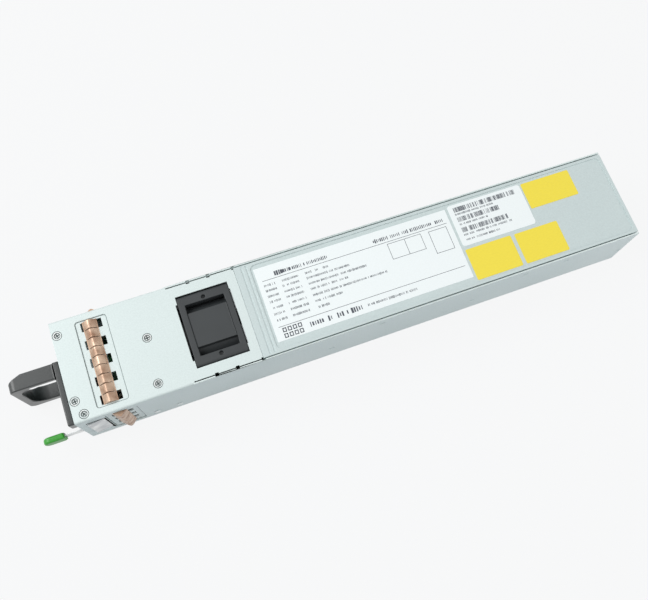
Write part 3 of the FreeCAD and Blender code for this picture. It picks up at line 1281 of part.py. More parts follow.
def transformer_core():
    """Two E-shaped ferrite halves around the winding, drawn as one frame."""
    x, y = on_board("main_transformer")
    length, width, height = main_part(TRANSFORMER)
    core = brick(x, y, (length, width, height))
    window_width = (width - 3 * TRANSFORMER_LEG) / 2
    cuts = []
    for side in (-1, 1):
        middle = y + side * (TRANSFORMER_LEG + window_width) / 2
        cuts.append(block(x - length, x + length, middle - window_width / 2, middle + window_width / 2,
                          BOARD_TOP + TRANSFORMER_LEG, BOARD_TOP + height - TRANSFORMER_LEG))
    return core.cut(cuts).removeSplitter()


def transformer_winding():
    """The taped coil in the core's two windows, joined around the middle leg at both ends."""
    x, y = on_board("main_transformer")
    length, width, height = main_part(TRANSFORMER)
    window_width = (width - 3 * TRANSFORMER_LEG) / 2
    low, high = BOARD_TOP + TRANSFORMER_LEG + FIT, BOARD_TOP + height - TRANSFORMER_LEG - FIT
    reach = length / 2 + TRANSFORMER_OVERHANG
    pieces = []
    for side in (-1, 1):
        middle = y + side * (TRANSFORMER_LEG + window_width) / 2
        half = window_width / 2 - FIT
        pieces.append(block(x - reach, x + reach, middle - half, middle + half, low, high))
        end = x + side * (reach + length / 2 + FIT) / 2
        half_end = (reach - length / 2 - FIT) / 2
        pieces.append(block(end - half_end, end + half_end, y - TRANSFORMER_LEG / 2 - window_width / 2,
                            y + TRANSFORMER_LEG / 2 + window_width / 2, low, high))
    return joined(pieces)


def standby_transformer():
    x, y = on_board("standby_transformer")
    length, width, height = main_part(STANDBY_TRANSFORMER)
    core = brick(x, y, (length, width, height))
    winding = block(x - length / 2 + 2, x + length / 2 - 2, y - width / 2 - 1, y + width / 2 + 1,
                    BOARD_TOP + 3, BOARD_TOP + height - 3)
    return core.fuse(winding).removeSplitter()


def control_board():
    """A small upright board with its chips, near the near wall."""
    x, y = on_board("control_board")
    length, thickness, height = main_part(CONTROL_BOARD)
    board = brick(x, y, (length, thickness, height))
    chips = []
    for place in slots(3, length / 3.4):
        chips.append(block(x + place - 3, x + place + 3, y + thickness / 2, y + thickness / 2 + 1.2,
                           BOARD_TOP + height / 2 - 3, BOARD_TOP + height / 2 + 3))
    return joined([board] + chips)


def output_capacitors():
    x, y = on_board("output_capacitors")
    diameter, height = main_part(OUTPUT_CAPACITOR)
    pitch = diameter + OUTPUT_CAPACITOR_GAP
    cans = []
    for step_x in slots(OUTPUT_CAPACITOR_COLUMNS, pitch):
        for step_y in slots(OUTPUT_CAPACITOR_ROWS, pitch):
            cans.append(standing_can(x + step_x, y + step_y, diameter, height))
    return group(cans)


def busbars():
    """Two copper bars that carry the output back to the connector."""
    x, _ = on_board("busbars")
    inset = STANDOFF_WIDTH + BUSBAR_MARGIN
    return group([brick(x, y, main_part(BUSBAR)) for y in (BOARD_NEAR + inset, BOARD_FAR - inset)])


# ---------------------------------------------------------------- status lights
def light_board_x():
    return FRONT + BOARD_FRONT + BOARD_SHEET / 2


def light_board():
    """A small upright board behind the front panel."""
    places = light_pipe_places()
    near = places[0][0] - LIGHT_BOARD_MARGIN
    far = places[-1][0] + LIGHT_BOARD_MARGIN
    return block(light_board_x() - BOARD_SHEET / 2, light_board_x() + BOARD_SHEET / 2, near, far,
                 BOARD_TOP, places[0][1] + LIGHT_BOARD_MARGIN / 2)


def status_leds():
    face = light_board_x() - BOARD_SHEET / 2
    return group([block(face - LED_DEPTH, face, y - LED_SIZE / 2, y + LED_SIZE / 2,
                        z - LED_SIZE / 2, z + LED_SIZE / 2) for y, z in light_pipe_places()])


def light_pipes():
    """Two clear rods from the lights to just outside the front panel."""
    end = light_board_x() - BOARD_SHEET / 2 - LED_DEPTH - PLATE_GAP
    return group([rod_x(FRONT - LIGHT_PIPE_OUT, end, y, z, LIGHT_PIPE / 2)
                  for y, z in light_pipe_places()])


# ---------------------------------------------------------------- fan lead
def lead_start():
    return V(FAN_REAR, -FAN_SIZE / 2 + LEAD_INSET, MIDDLE - LEAD_BELOW)


def lead_points():
    start = lead_start()
    end_height = BOARD_TOP + FAN_PLUG[2] / 2
    step = LEAD_STEP
    return [start, start + V(step, 0, 0), V(start.x + 2 * step, start.y, end_height),
            V(start.x + 3 * step, start.y, end_height)]


def tube_along(points, radius):
    """A round cord of straight runs joined by tangent arcs."""
    edges = []
    at = points[0]
    for before, corner, after in zip(points, points[1:], points[2:]):
        back, ahead = before.sub(corner), after.sub(corner)
        shorter = min(back.Length, ahead.Length)
        back.normalize()
        ahead.normalize()
        half_turn = (math.pi - back.getAngle(ahead)) / 2
        reach = 0.45 * shorter
        bend = reach / math.tan(half_turn)
        start, end = corner + back * reach, corner + ahead * reach
        inward = (back + ahead).normalize()
        centre = corner + inward * (bend / math.cos(half_turn))
        middle = centre - inward * bend
        edges.append(Part.LineSegment(at, start).toShape())
        edges.append(Part.Arc(start, middle, end).toShape())
        print("cord bend radius", round(bend, 2))
        at = end
    edges.append(Part.LineSegment(at, points[-1]).toShape())
    path = Part.Wire(edges)
    direction = points[1].sub(points[0])
    ring = Part.Wire(Part.makeCircle(radius, points[0], direction))
    tube = path.makePipeShell([ring], True, True)
    print("cord volume", round(tube.Volume, 3), "expected", round(math.pi * radius ** 2 * path.Length, 3))
    return tube


def fan_lead():
    return tube_along(lead_points(), FAN_LEAD / 2)


def fan_lead_notch():
    start = lead_start()
    return rod_x(BULKHEAD_FRONT - 1, BULKHEAD_REAR + 1, start.y, start.z, FAN_LEAD / 2 + PLATE_GAP)


def fan_plug():
    """The plug on the lead's end, pushed into the header."""
    end = lead_points()[-1]
    length, width, height = FAN_PLUG
    return block(end.x, end.x + length, end.y - width / 2, end.y + width / 2,
                 BOARD_TOP, BOARD_TOP + height)


def fan_header():
    end = lead_points()[-1]
    length, width, height = FAN_PLUG
    start = end.x + length
    return block(start, start + HEADER_LENGTH, end.y - width / 2 - SHEET, end.y + width / 2 + SHEET,
                 BOARD_TOP, BOARD_TOP + height)


# ---------------------------------------------------------------- labels
def label(outline, radius):
    """A sticker in the cover's field."""
    start, near, length, width = outline
    cover_length = REAR - DECK_REAR
    front, side = DECK_REAR + start * cover_length, NEAR + near * CASE_WIDTH
    bottom = TOP - PANEL_RECESS
    sheet = block(front, front + length * cover_length, side, side + width * CASE_WIDTH,
                  bottom, bottom + LABEL_SHEET)
    return rounded(sheet, V(0, 0, 1), radius)


# ---------------------------------------------------------------- every piece, one file each
PIECES = {
    "chassis_shell": chassis_shell,
    "base_plate": base_plate,
    "top_cover": top_cover,
    "base_rivets": base_rivets,
    "deck_screws": deck_screws,
    "contact_strip_top": top_strip,
    "contact_strip_near": lambda: side_strip(-1),
    "contact_strip_far": lambda: side_strip(1),
    "front_panel": front_panel,
    "handle_bezel": handle_bezel,
    "bezel_screws": bezel_screws,
    "ac_inlet_housing": ac_inlet_housing,
    "inlet_pins": inlet_pins,
    "latch_spring": latch_spring,
    "latch_seat": latch_seat,
    "latch_rivets": latch_rivets,
    "latch_tab": latch_tab,
    "fan_frame": fan_frame,
    "fan_rotor": fan_rotor,
    "fan_bulkhead": fan_bulkhead,
    "fan_screws": fan_screws,
    "fan_guard": fan_guard,
    "fan_lead": fan_lead,
    "fan_plug": fan_plug,
    "fan_header": fan_header,
    "rear_panel": rear_panel,
    "output_connector": output_connector,
    "connector_blades": connector_blades,
    "main_board": main_board,
    "board_standoffs": board_standoffs,
    "board_screws": board_screws,
    "insulation_sheet": insulation_sheet,
    "common_mode_choke_a": lambda: common_mode_choke("choke_a"),
    "common_mode_choke_b": lambda: common_mode_choke("choke_b"),
    "x_capacitors": x_capacitors,
    "y_capacitors": y_capacitors,
    "fuse": fuse_link,
    "ground_bracket": ground_bracket,
    "relay": relay,
    "thermistor": thermistor,
    "bridge_rectifier": bridge_rectifier,
    "bulk_capacitor": bulk_capacitor,
    "pfc_inductor": pfc_inductor,
    "primary_heatsink": lambda: heatsink("primary_heatsink", PRIMARY_HEATSINK),
    "primary_transistors": lambda: transistors("primary_heatsink", PRIMARY_HEATSINK,
                                               PRIMARY_TRANSISTORS),
    "transformer_core": transformer_core,
    "transformer_winding": transformer_winding,
    "standby_transformer": standby_transformer,
    "control_board": control_board,
    "output_inductor": output_inductor,
    "secondary_heatsink": lambda: heatsink("secondary_heatsink", SECONDARY_HEATSINK),
    "secondary_transistors": lambda: transistors("secondary_heatsink", SECONDARY_HEATSINK,
                                                 SECONDARY_TRANSISTORS),
    "output_capacitors": output_capacitors,
    "busbars": busbars,
    "light_board": light_board,
    "status_leds": status_leds,
    "light_pipes": light_pipes,
    "rating_label": lambda: label(RATING_LABEL, LABEL_RADIUS / 4),
    "serial_label": lambda: label(SERIAL_LABEL, LABEL_RADIUS),
    "yellow_labels": lambda: group([label(outline, LABEL_RADIUS / 2) for outline in YELLOW_LABELS]),
}

os.makedirs("parts", exist_ok=True)
for node, make in PIECES.items():
    make().exportStep(os.path.join("parts", node + ".step"))
print(len(PIECES), "pieces written")
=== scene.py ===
"""Looks of a hot swap server power supply, laid out as a Blender add-on."""

import json
import math
import random

import bmesh
import bpy
from bpy.props import FloatProperty, FloatVectorProperty, PointerProperty
from mathutils import Matrix, Vector


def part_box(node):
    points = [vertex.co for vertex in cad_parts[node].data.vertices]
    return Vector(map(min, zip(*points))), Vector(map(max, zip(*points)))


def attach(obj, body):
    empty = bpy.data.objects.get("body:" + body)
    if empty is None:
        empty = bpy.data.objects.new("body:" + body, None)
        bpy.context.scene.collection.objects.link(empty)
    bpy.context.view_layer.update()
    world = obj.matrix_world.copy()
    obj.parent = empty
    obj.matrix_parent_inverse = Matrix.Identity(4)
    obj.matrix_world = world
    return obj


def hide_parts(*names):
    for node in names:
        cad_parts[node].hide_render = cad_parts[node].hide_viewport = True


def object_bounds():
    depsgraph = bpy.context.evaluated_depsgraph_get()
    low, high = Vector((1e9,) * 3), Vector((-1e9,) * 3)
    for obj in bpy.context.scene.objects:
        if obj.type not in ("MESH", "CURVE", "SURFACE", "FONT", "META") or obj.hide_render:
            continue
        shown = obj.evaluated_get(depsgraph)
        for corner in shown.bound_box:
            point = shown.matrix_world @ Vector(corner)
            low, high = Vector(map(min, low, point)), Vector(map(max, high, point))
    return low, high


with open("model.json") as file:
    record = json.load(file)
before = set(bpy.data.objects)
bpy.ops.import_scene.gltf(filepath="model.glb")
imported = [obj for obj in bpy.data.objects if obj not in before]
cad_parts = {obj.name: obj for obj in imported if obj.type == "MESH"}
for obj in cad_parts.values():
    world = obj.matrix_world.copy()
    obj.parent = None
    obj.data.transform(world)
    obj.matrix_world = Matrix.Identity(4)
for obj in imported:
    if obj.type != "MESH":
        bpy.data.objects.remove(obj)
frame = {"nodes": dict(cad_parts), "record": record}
CAD_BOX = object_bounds()
RECORD = frame["record"]
SLOT_OF = {part["node"]: part["material_slot"] for part in RECORD["subparts"]}
BODY_OF = {node: body for body, nodes in RECORD["behaviour"]["bodies"].items() for node in nodes}
MM = 0.001

bl_info = {
    "name": "Server Power Supply",
    "version": (1, 0, 0),
    "blender": (4, 5, 0),
    "location": "View3D > Sidebar > Power Supply",
    "description": "Builds the looks of a hot swap power supply around its CAD frame",
    "category": "Object",
}


# ---------------------------------------------------------------- colours and shader nodes
def srgb(code):
    """The linear colour of a six-figure sRGB hex code."""
    values = [int(code[place:place + 2], 16) / 255 for place in (0, 2, 4)]
    return tuple(value / 12.92 if value <= 0.04045 else ((value + 0.055) / 1.055) ** 2.4
                 for value in values)


def rgba(colour, level=1.0):
    """A colour socket's value, made lighter or darker by a level."""
    return tuple(min(channel * level, 1.0) for channel in colour) + (1.0,)


def add(tree, kind, inputs=None, **settings):
    """One node with its settings; inputs name a socket and what is linked or set there."""
    node = tree.nodes.new(kind)
    for key, value in settings.items():
        setattr(node, key, value)
    for key, value in (inputs or {}).items():
        if isinstance(value, bpy.types.NodeSocket):
            tree.links.new(value, node.inputs[key])
        else:
            node.inputs[key].default_value = value
    return node


def new_material(name, **constants):
    """A material whose Principled shader holds the constants; returns its tree and shader."""
    material = bpy.data.materials.new(name)
    material.use_nodes = True
    shader = material.node_tree.nodes["Principled BSDF"]
    for key, value in constants.items():
        shader.inputs[key.replace("_", " ")].default_value = value
    return material, material.node_tree, shader


def places(tree, stretch=(1, 1, 1)):
    """Object coordinates in metres, stretched along the axes."""
    coords = add(tree, "ShaderNodeTexCoord").outputs["Object"]
    return add(tree, "ShaderNodeMapping", {"Vector": coords, "Scale": stretch}).outputs["Vector"]


def cloud(tree, size, stretch=(1, 1, 1), detail=3.0):
    """Noise whose features are about size millimetres across."""
    inputs = {"Vector": places(tree, stretch), "Scale": 1 / (size * MM), "Detail": detail}
    return add(tree, "ShaderNodeTexNoise", inputs).outputs["Fac"]


def ramp(tree, amount, *stops):
    """A colour that follows an amount through stops of place and colour."""
    node = add(tree, "ShaderNodeValToRGB", {"Fac": amount})
    while len(node.color_ramp.elements) < len(stops):
        node.color_ramp.elements.new(0.5)
    for element, (place, colour) in zip(node.color_ramp.elements, stops):
        element.position = place
        element.color = colour
    return node.outputs["Color"]


def stretch_range(tree, amount, low, high):
    """A value from low to high as an amount of noise goes from its lowest to its highest."""
    inputs = {"Value": amount, "From Min": 0.3, "From Max": 0.7, "To Min": low, "To Max": high}
    return add(tree, "ShaderNodeMapRange", inputs).outputs["Result"]


def raise_by(tree, shader, amount, height, strength):
    """Relief on a shader, height millimetres deep."""
    inputs = {"Height": amount, "Distance": height * MM, "Strength": strength}
    tree.links.new(add(tree, "ShaderNodeBump", inputs).outputs["Normal"], shader.inputs["Normal"])


# ---------------------------------------------------------------- materials
def sheet_metal(name, colour, metallic, roughness, grain):
    """Plated steel sheet: a fine crystal mottle, faint rolling lines and handling smudges."""
    material, tree, shader = new_material(name, Metallic=metallic, Specular_IOR_Level=0.25)
    mottle = cloud(tree, grain, detail=4.0)
    tint = ramp(tree, mottle, (0.3, rgba(colour, 0.95)), (0.7, rgba(colour, 1.03)))
    tree.links.new(tint, shader.inputs["Base Color"])
    smudge = cloud(tree, 38.0, detail=2.0)
    tree.links.new(stretch_range(tree, smudge, roughness - 0.05, roughness + 0.06),
                   shader.inputs["Roughness"])
    lines = cloud(tree, 0.9, stretch=(0.08, 1, 1), detail=2.0)
    raise_by(tree, shader, lines, 0.01, 0.3)
    return material


def drawn_metal(name, colour, tarnish, along, roughness, metallic=1.0):
    """Metal with fine drawing lines along one direction and a tarnish in places."""
    material, tree, shader = new_material(name, Metallic=metallic)
    patches = cloud(tree, 6.0, detail=4.0)
    tint = ramp(tree, patches, (0.35, rgba(colour)), (0.75, rgba(tarnish)))
    tree.links.new(tint, shader.inputs["Base Color"])
    tree.links.new(stretch_range(tree, patches, roughness, roughness + 0.15),
                   shader.inputs["Roughness"])
    raise_by(tree, shader, cloud(tree, 0.25, stretch=along, detail=2.0), 0.01, 0.4)
    return material


def moulded_plastic(name, colour, roughness, texture, depth, gloss=0.0):
    """Injection-moulded plastic with an eroded texture and slightly polished patches."""
    material, tree, shader = new_material(name, Coat_Weight=gloss, Coat_Roughness=0.3)
    patches = cloud(tree, 14.0, detail=3.0)
    tint = ramp(tree, patches, (0.3, rgba(colour, 0.9)), (0.7, rgba(colour, 1.1)))
    tree.links.new(tint, shader.inputs["Base Color"])
    tree.links.new(stretch_range(tree, patches, roughness - 0.06, roughness + 0.06),
                   shader.inputs["Roughness"])
    raise_by(tree, shader, cloud(tree, texture, detail=3.0), depth, 0.5)
    return material


def coated_sheet(name, colour, roughness, fibre, gloss=0.0):
    """Label stock, tape or film: an even coat over faint fibres."""
    material, tree, shader = new_material(name, Coat_Weight=gloss, Coat_Roughness=0.25)
    fibres = cloud(tree, fibre, stretch=(0.4, 1, 1), detail=4.0)
    tint = ramp(tree, fibres, (0.3, rgba(colour, 0.97)), (0.7, rgba(colour, 1.02)))
    tree.links.new(tint, shader.inputs["Base Color"])
    tree.links.new(stretch_range(tree, fibres, roughness - 0.04, roughness + 0.04),
                   shader.inputs["Roughness"])
    raise_by(tree, shader, fibres, 0.004, 0.3)
    return material


def circuit_board(name, mask, copper):
    """Solder mask over copper: lighter where tracks and pours run beneath."""
    material, tree, shader = new_material(name, Roughness=0.35, Coat_Weight=0.3, Coat_Roughness=0.15)
    cells = add(tree, "ShaderNodeTexVoronoi", {"Vector": places(tree), "Scale": 1 / (7 * MM)},
                distance="CHEBYCHEV", feature="DISTANCE_TO_EDGE").outputs["Distance"]
    tint = ramp(tree, cells, (0.1, rgba(mask)), (0.14, rgba(copper)))
    tree.links.new(tint, shader.inputs["Base Color"])
    raise_by(tree, shader, cells, 0.04, 0.4)
    return material


def wound_wire(name, colour, pitch):
    """Enamelled wire in close turns across the part."""
    material, tree, shader = new_material(name, Metallic=0.6, Roughness=0.3, Coat_Weight=0.6)
    turns = add(tree, "ShaderNodeTexWave", {"Vector": places(tree), "Scale": 0.31 / (pitch * MM),
                "Distortion": 0.6}, bands_direction="Z").outputs["Fac"]
    # the colour drops to about a third between the turns: painted shade in the grooves between the
    # wires
    tint = ramp(tree, turns, (0.1, rgba(colour, 0.35)), (0.6, rgba(colour)))
    tree.links.new(tint, shader.inputs["Base Color"])
    raise_by(tree, shader, turns, 0.2, 0.6)
    return material


def pitted_crust(name, colour):
    """A matt fired or oxidised surface with fine pits."""
    material, tree, shader = new_material(name, Roughness=0.7)
    pits = cloud(tree, 0.5, detail=5.0)
    tint = ramp(tree, pits, (0.3, rgba(colour, 0.6)), (0.7, rgba(colour, 1.2)))
    tree.links.new(tint, shader.inputs["Base Color"])
    raise_by(tree, shader, pits, 0.04, 0.5)
    return material


def clear_resin(name, colour, roughness, ior):
    """Clear moulded resin or glass with faint flow marks."""
    material, tree, shader = new_material(name, Transmission_Weight=0.9, Base_Color=rgba(colour),
                                          IOR=ior)
    flow = cloud(tree, 1.5, stretch=(0.3, 1, 1))
    tree.links.new(stretch_range(tree, flow, roughness, roughness + 0.08),
                   shader.inputs["Roughness"])
    return material


def make_materials(tints):
    """Every finish of the supply by the record's material slot."""
    even, lengthwise, sideways = (1, 1, 1), (0.06, 1, 1), (1, 0.1, 1)
    return {
        # electro-galvanised steel sheet of the chassis, base and end panels
        "zinc_steel": sheet_metal("electrogalvanised_steel", tints.chassis, metallic=0.1,
                                  roughness=0.42, grain=0.7),
        # the same sheet, coloured a little darker
        "cover_steel": sheet_metal("galvanised_cover_steel", tints.cover, metallic=0.15,
                                   roughness=0.42, grain=0.8),
        # plain galvanised sheet of the inner brackets
        "bracket_steel": sheet_metal("galvanised_bracket_steel", tints.bracket, metallic=0.8,
                                     roughness=0.4, grain=1.5),
        # nickel-plated steel screws and rivets
        "screw_steel": drawn_metal("nickel_plated_steel", tints.nickel, tints.cover, even,
                                   roughness=0.3, metallic=0.4),
        # turned brass standoffs under the main board
        "board_standoff_brass": drawn_metal("turned_brass", tints.brass, tints.brass, even,
                                            roughness=0.3),
        # beryllium copper spring strips, bare
        "contact_copper": drawn_metal("beryllium_copper", tints.strip, tints.strip_dark, sideways,
                                      roughness=0.3, metallic=0.4),
        # hardened spring steel of the latch strip
        "spring_steel": drawn_metal("blue_grey_spring_steel", tints.zinc, tints.nickel, lengthwise,
                                    roughness=0.3),
        # plated brass of the inlet pins and the output blades
        "pin_brass": drawn_metal("nickel_plated_brass", tints.nickel, tints.brass, lengthwise,
                                 roughness=0.25),
        # bare rolled copper bars
        "busbar_copper": drawn_metal("rolled_copper", tints.copper, tints.copper_dark, lengthwise,
                                     roughness=0.3),
        # extruded aluminium, as drawn
        "heatsink_aluminium": drawn_metal("extruded_aluminium", tints.nickel, tints.zinc,
                                          lengthwise, roughness=0.38),
        # acetal release tab
        "green_plastic": moulded_plastic("green_acetal", tints.tab, roughness=0.38, texture=0.6,
                                         depth=0.01),
        # glass-filled nylon of the handle, inlet and output connector
        "black_plastic": moulded_plastic("black_nylon", tints.black, roughness=0.42, texture=0.35,
                                         depth=0.02, gloss=0.6),
        # polyester moulding of the fan
        "fan_plastic": moulded_plastic("fan_polyester", tints.fan, roughness=0.5, texture=0.4,
                                       depth=0.015),
        # moulded relay case
        "relay_plastic": moulded_plastic("black_relay_case", tints.black, roughness=0.3,
                                         texture=0.5, depth=0.01),
        # moulded epoxy packages of the semiconductors
        "chip_plastic": moulded_plastic("epoxy_package", tints.black, roughness=0.55, texture=0.2,
                                        depth=0.01),
        # polypropylene boxes of the film capacitors
        "capacitor_box": moulded_plastic("yellow_capacitor_box", tints.amber, roughness=0.35,
                                         texture=0.6, depth=0.01),
        # dipped epoxy of the disc parts
        "capacitor_disc": moulded_plastic("blue_dipped_epoxy", tints.disc, roughness=0.3,
                                          texture=1.5, depth=0.03),
        # natural nylon of the fan's plug and header
        "white_plastic": moulded_plastic("white_nylon", tints.white, roughness=0.45, texture=0.5,
                                         depth=0.01),
        # PVC sleeve of the fan's lead
        "lead_rubber": moulded_plastic("black_lead_pvc", tints.black, roughness=0.5, texture=0.5,
                                       depth=0.01),
        # black enamel on the fan guard's wire
        "guard_paint": moulded_plastic("black_wire_paint", tints.black, roughness=0.4, texture=0.3,
                                       depth=0.02),
        # solder mask of the boards
        "board_green": circuit_board("green_solder_mask", tints.mask, tints.mask_copper),
        # fibre sheet under the main board
        "insulation_film": coated_sheet("fibre_insulation", tints.fibre, roughness=0.6, fibre=0.5),
        # shrunk PVC sleeves of the capacitor cans
        "can_sleeve": coated_sheet("pvc_can_sleeve", tints.sleeve, roughness=0.3, fibre=3.0,
                                   gloss=0.4),
        # polyester tape around the transformer's winding
        "winding_tape": coated_sheet("polyester_tape", tints.yellow, roughness=0.3, fibre=1.0,
                                     gloss=0.4),
        # coated paper of the white labels
        "white_label": coated_sheet("coated_label_paper", tints.paper, roughness=0.42, fibre=0.4,
                                    gloss=0.15),
        # vinyl of the yellow labels
        "yellow_label": coated_sheet("yellow_vinyl", tints.yellow, roughness=0.38, fibre=0.6,
                                     gloss=0.2),
        # matt printing ink
        "label_ink": coated_sheet("printing_ink", tints.ink, roughness=0.6, fibre=0.3),
        # painted shade, with some dirt, in the screws' seams, around their dishes and deep in their
        # recesses
        "dirt_and_shade": pitted_crust("seam_dirt_and_shade", tints.dirt_and_shade),
        # painted shade: a grey line in the pressed corners of the recesses
        "crease_shade_zinc": pitted_crust("crease_shade_pressed_zinc", tints.crease_shade),
        # fired ferrite of the cores
        "ferrite": pitted_crust("manganese_ferrite", tints.ferrite),
        # enamelled copper wire of the chokes
        "choke_wire": wound_wire("enamelled_copper_wire", tints.copper, pitch=1.2),
        # glass tube of the fuse
        "fuse_glass": clear_resin("fuse_glass", tints.white, roughness=0.05, ior=1.5),
        # clear acrylic of the light pipes
        "clear_plastic": clear_resin("clear_acrylic", tints.white, roughness=0.1, ior=1.49),
        # diffused resin of the status lights
        "led_resin": clear_resin("diffused_green_resin", tints.tab, roughness=0.4, ior=1.5),
    }


# ---------------------------------------------------------------- settings
def colour(label, code):
    return FloatVectorProperty(name=label, description=label + " colour", subtype="COLOR", size=3,
                               min=0, max=1, default=srgb(code))


def length(label, description, millimetres):
    return FloatProperty(name=label, description=description, unit="LENGTH", precision=5,
                         default=millimetres * MM)


class SupplyColours(bpy.types.PropertyGroup):
    """Colour of each finish."""
    chassis: colour("Chassis sheet", "dbe7e6")
    cover: colour("Cover sheet", "ccd9d9")
    bracket: colour("Bracket sheet", "c4c8ca")
    nickel: colour("Nickel", "e9ebea")
    zinc: colour("Zinc", "a9adb0")
    brass: colour("Brass", "c9a85c")
    strip: colour("Contact strip", "d8bca4")
    strip_dark: colour("Tarnished contact strip", "946e55")
    copper: colour("Copper", "d98a5e")
    copper_dark: colour("Dark copper", "9a5f45")
    tab: colour("Release tab", "35a02c")
    black: colour("Black plastic", "202626")
    fan: colour("Fan plastic", "34383a")
    amber: colour("Capacitor box", "c9a53a")
    disc: colour("Capacitor disc", "2f5fa8")
    white: colour("White plastic", "e6e4dc")
    mask: colour("Solder mask", "14562f")
    mask_copper: colour("Solder mask over copper", "1f6b3c")
    fibre: colour("Insulation", "cfc9b4")
    sleeve: colour("Can sleeve", "1d2430")
    paper: colour("Label paper", "f4fbfc")
    ink: colour("Label ink", "50555e")
    yellow: colour("Yellow label", "f6e243")
    ferrite: colour("Ferrite", "3a3a3c")
    # the next two are painted shade: dark grey in the screws' seams, with some dirt, and grey in the
    # recesses' pressed corners
    dirt_and_shade: colour("Seam oxide", "5c6665")
    crease_shade: colour("Dull zinc", "96a2a2")
    floor: colour("Floor", "a4afb8")


class SupplySizes(bpy.types.PropertyGroup):
    """Sizes of the finishing work on the parts."""
    sheet_edge: length("Sheet edge", "Rounding of a sheared sheet edge", 0.1)
    plastic_edge: length("Plastic edge", "Rounding of a moulded edge", 0.35)
    grip_edge: length("Grip edge", "Rounding of the handle", 0.7)
    tab_edge: length("Tab edge", "Rounding of the release tab", 1.1)
    fine_edge: length("Fine edge", "Rounding of screws and small parts", 0.08)
    print_height: length("Print height", "Thickness of the ink on the labels", 0.02)
    screw_head: length("Screw head", "Diameter of a deck screw's head", 5.0)
    screw_shank: length("Screw shank", "Diameter of a deck screw's shank", 2.9)
    screw_sink: length("Screw sink", "Height of a deck screw's countersunk head", 1.0)
    screw_length: length("Screw length", "Length of a deck screw", 4.0)
    screw_groove: length("Screw groove", "Width and depth of the seam around a head", 0.36)
    screw_dish: length("Screw dish", "Diameter of the dish around the cross recess", 3.2)
    strip_width: length("Strip width", "Width of a contact strip", 7.3)
    strip_height: length("Strip height", "Height of a contact finger", 2.8)
    strip_sheet: length("Strip sheet", "Sheet of the contact strips", 0.2)
    finger_pitch: length("Finger pitch", "Distance between contact fingers", 5.1)
    finger_gap: length("Finger gap", "Slit between two contact fingers", 0.4)
    finger_crown: FloatProperty(name="Finger crown", description="Fullness of a finger's arch",
                                default=1.5)
    recess_depth: length("Recess depth", "Depth of the recesses that carry the strips", 0.55)
    recess_front: length("Recess front", "Recess in front of a strip", 3.7)
    recess_rear: length("Recess rear", "Recess behind a strip", 5.2)
    recess_end: length("Recess end", "Recess beyond a strip's ends", 0.9)
    recess_radius: length("Recess radius", "Corner radius of the recesses", 1.5)
    # the seam line is a line of painted shade laid in a pressed corner
    seam_line: length("Seam line", "Width of the dark line in a pressed corner", 0.4)
    clip: length("Clip", "Length of a contact strip's clip", 3.9)
    clip_margin: FloatProperty(name="Clip margin", default=0.55,
                               description="Room beyond the end clips in clip distances")


class SupplyStage(bpy.types.PropertyGroup):
    """Camera and light."""
    camera_at: FloatVectorProperty(name="Camera place", description="Where the camera stands",
                                   subtype="XYZ", unit="LENGTH", size=3,
                                   default=(-0.0846, -0.1165, 0.4294))
    camera_turn: FloatVectorProperty(name="Camera turn", description="Angles of the camera",
                                     subtype="EULER", size=3, default=(0.3349, -0.0959, -0.3610))
    lens: FloatProperty(name="Lens", description="Focal length in millimetres", default=42.70)
    shift: FloatVectorProperty(name="Lens shift", description="Sideways and upward shift of the lens",
                               size=2, default=(-0.0559, -0.0304))
    whiteness: FloatProperty(name="Whiteness", description="Share of plain white in the floor",
                             default=0.89)
    sky: FloatProperty(name="Sky", description="Level of the soft surroundings", default=0.8)
    key: FloatProperty(name="Key lamp", description="Power of the overhead lamp", default=8.8)
    key_at: FloatVectorProperty(name="Key place", description="Where the overhead lamp hangs",
                                subtype="XYZ", unit="LENGTH", size=3, default=(-0.85, 0.4, 0.85))
    key_side: length("Key side", "Side of the square overhead lamp", 800)
    fill: FloatProperty(name="Fill lamp", description="Power of the side lamp", default=0.8)
    fill_at: FloatVectorProperty(name="Fill place", description="Where the side lamp hangs",
                                 subtype="XYZ", unit="LENGTH", size=3, default=(0.5, -0.4, 0.2))
    fill_side: length("Fill side", "Side of the square side lamp", 300)


# ---------------------------------------------------------------- making pieces
MATERIALS = {}
ROW_TREE = []
EDGE_ANGLE = math.radians(40)  # edges that turn by more are broken
CREASE_ANGLE = math.radians(35)  # faces that meet at more stay crisp


def cad_mesh(node):
    """A CAD body's mesh with its triangles merged back into faces."""
    weld, flat = 1e-6, math.radians(0.5)
    mesh = bmesh.new()
    mesh.from_mesh(frame["nodes"][node].data)
    bmesh.ops.remove_doubles(mesh, verts=mesh.verts, dist=weld)
    bmesh.ops.dissolve_limit(mesh, angle_limit=flat, verts=mesh.verts, edges=mesh.edges)
    return mesh


def break_edges(mesh, width, steps):
    """Rounds every edge that turns sharply."""
    corners = [edge for edge in mesh.edges
               if len(edge.link_faces) == 2 and edge.calc_face_angle() > EDGE_ANGLE]
    bmesh.ops.bevel(mesh, geom=corners, offset=width, segments=steps, profile=0.5,
                    affect="EDGES", clamp_overlap=False)


def islands(mesh):
    """The loose parts of a mesh, each a list of its vertices."""
    left = set(mesh.verts)
    found = []
    while left:
        part, edge_of = [], [left.pop()]
        while edge_of:
            vertex = edge_of.pop()
            part.append(vertex)
            for edge in vertex.link_edges:
                other = edge.other_vert(vertex)
                if other in left:
                    left.remove(other)
                    edge_of.append(other)
        found.append(part)
    return found


def middle_of(vertices):
    """The middle of the box around some vertices."""
    low = [min(vertex.co[axis] for vertex in vertices) for axis in range(3)]
    high = [max(vertex.co[axis] for vertex in vertices) for axis in range(3)]
    return (Vector(low) + Vector(high)) / 2


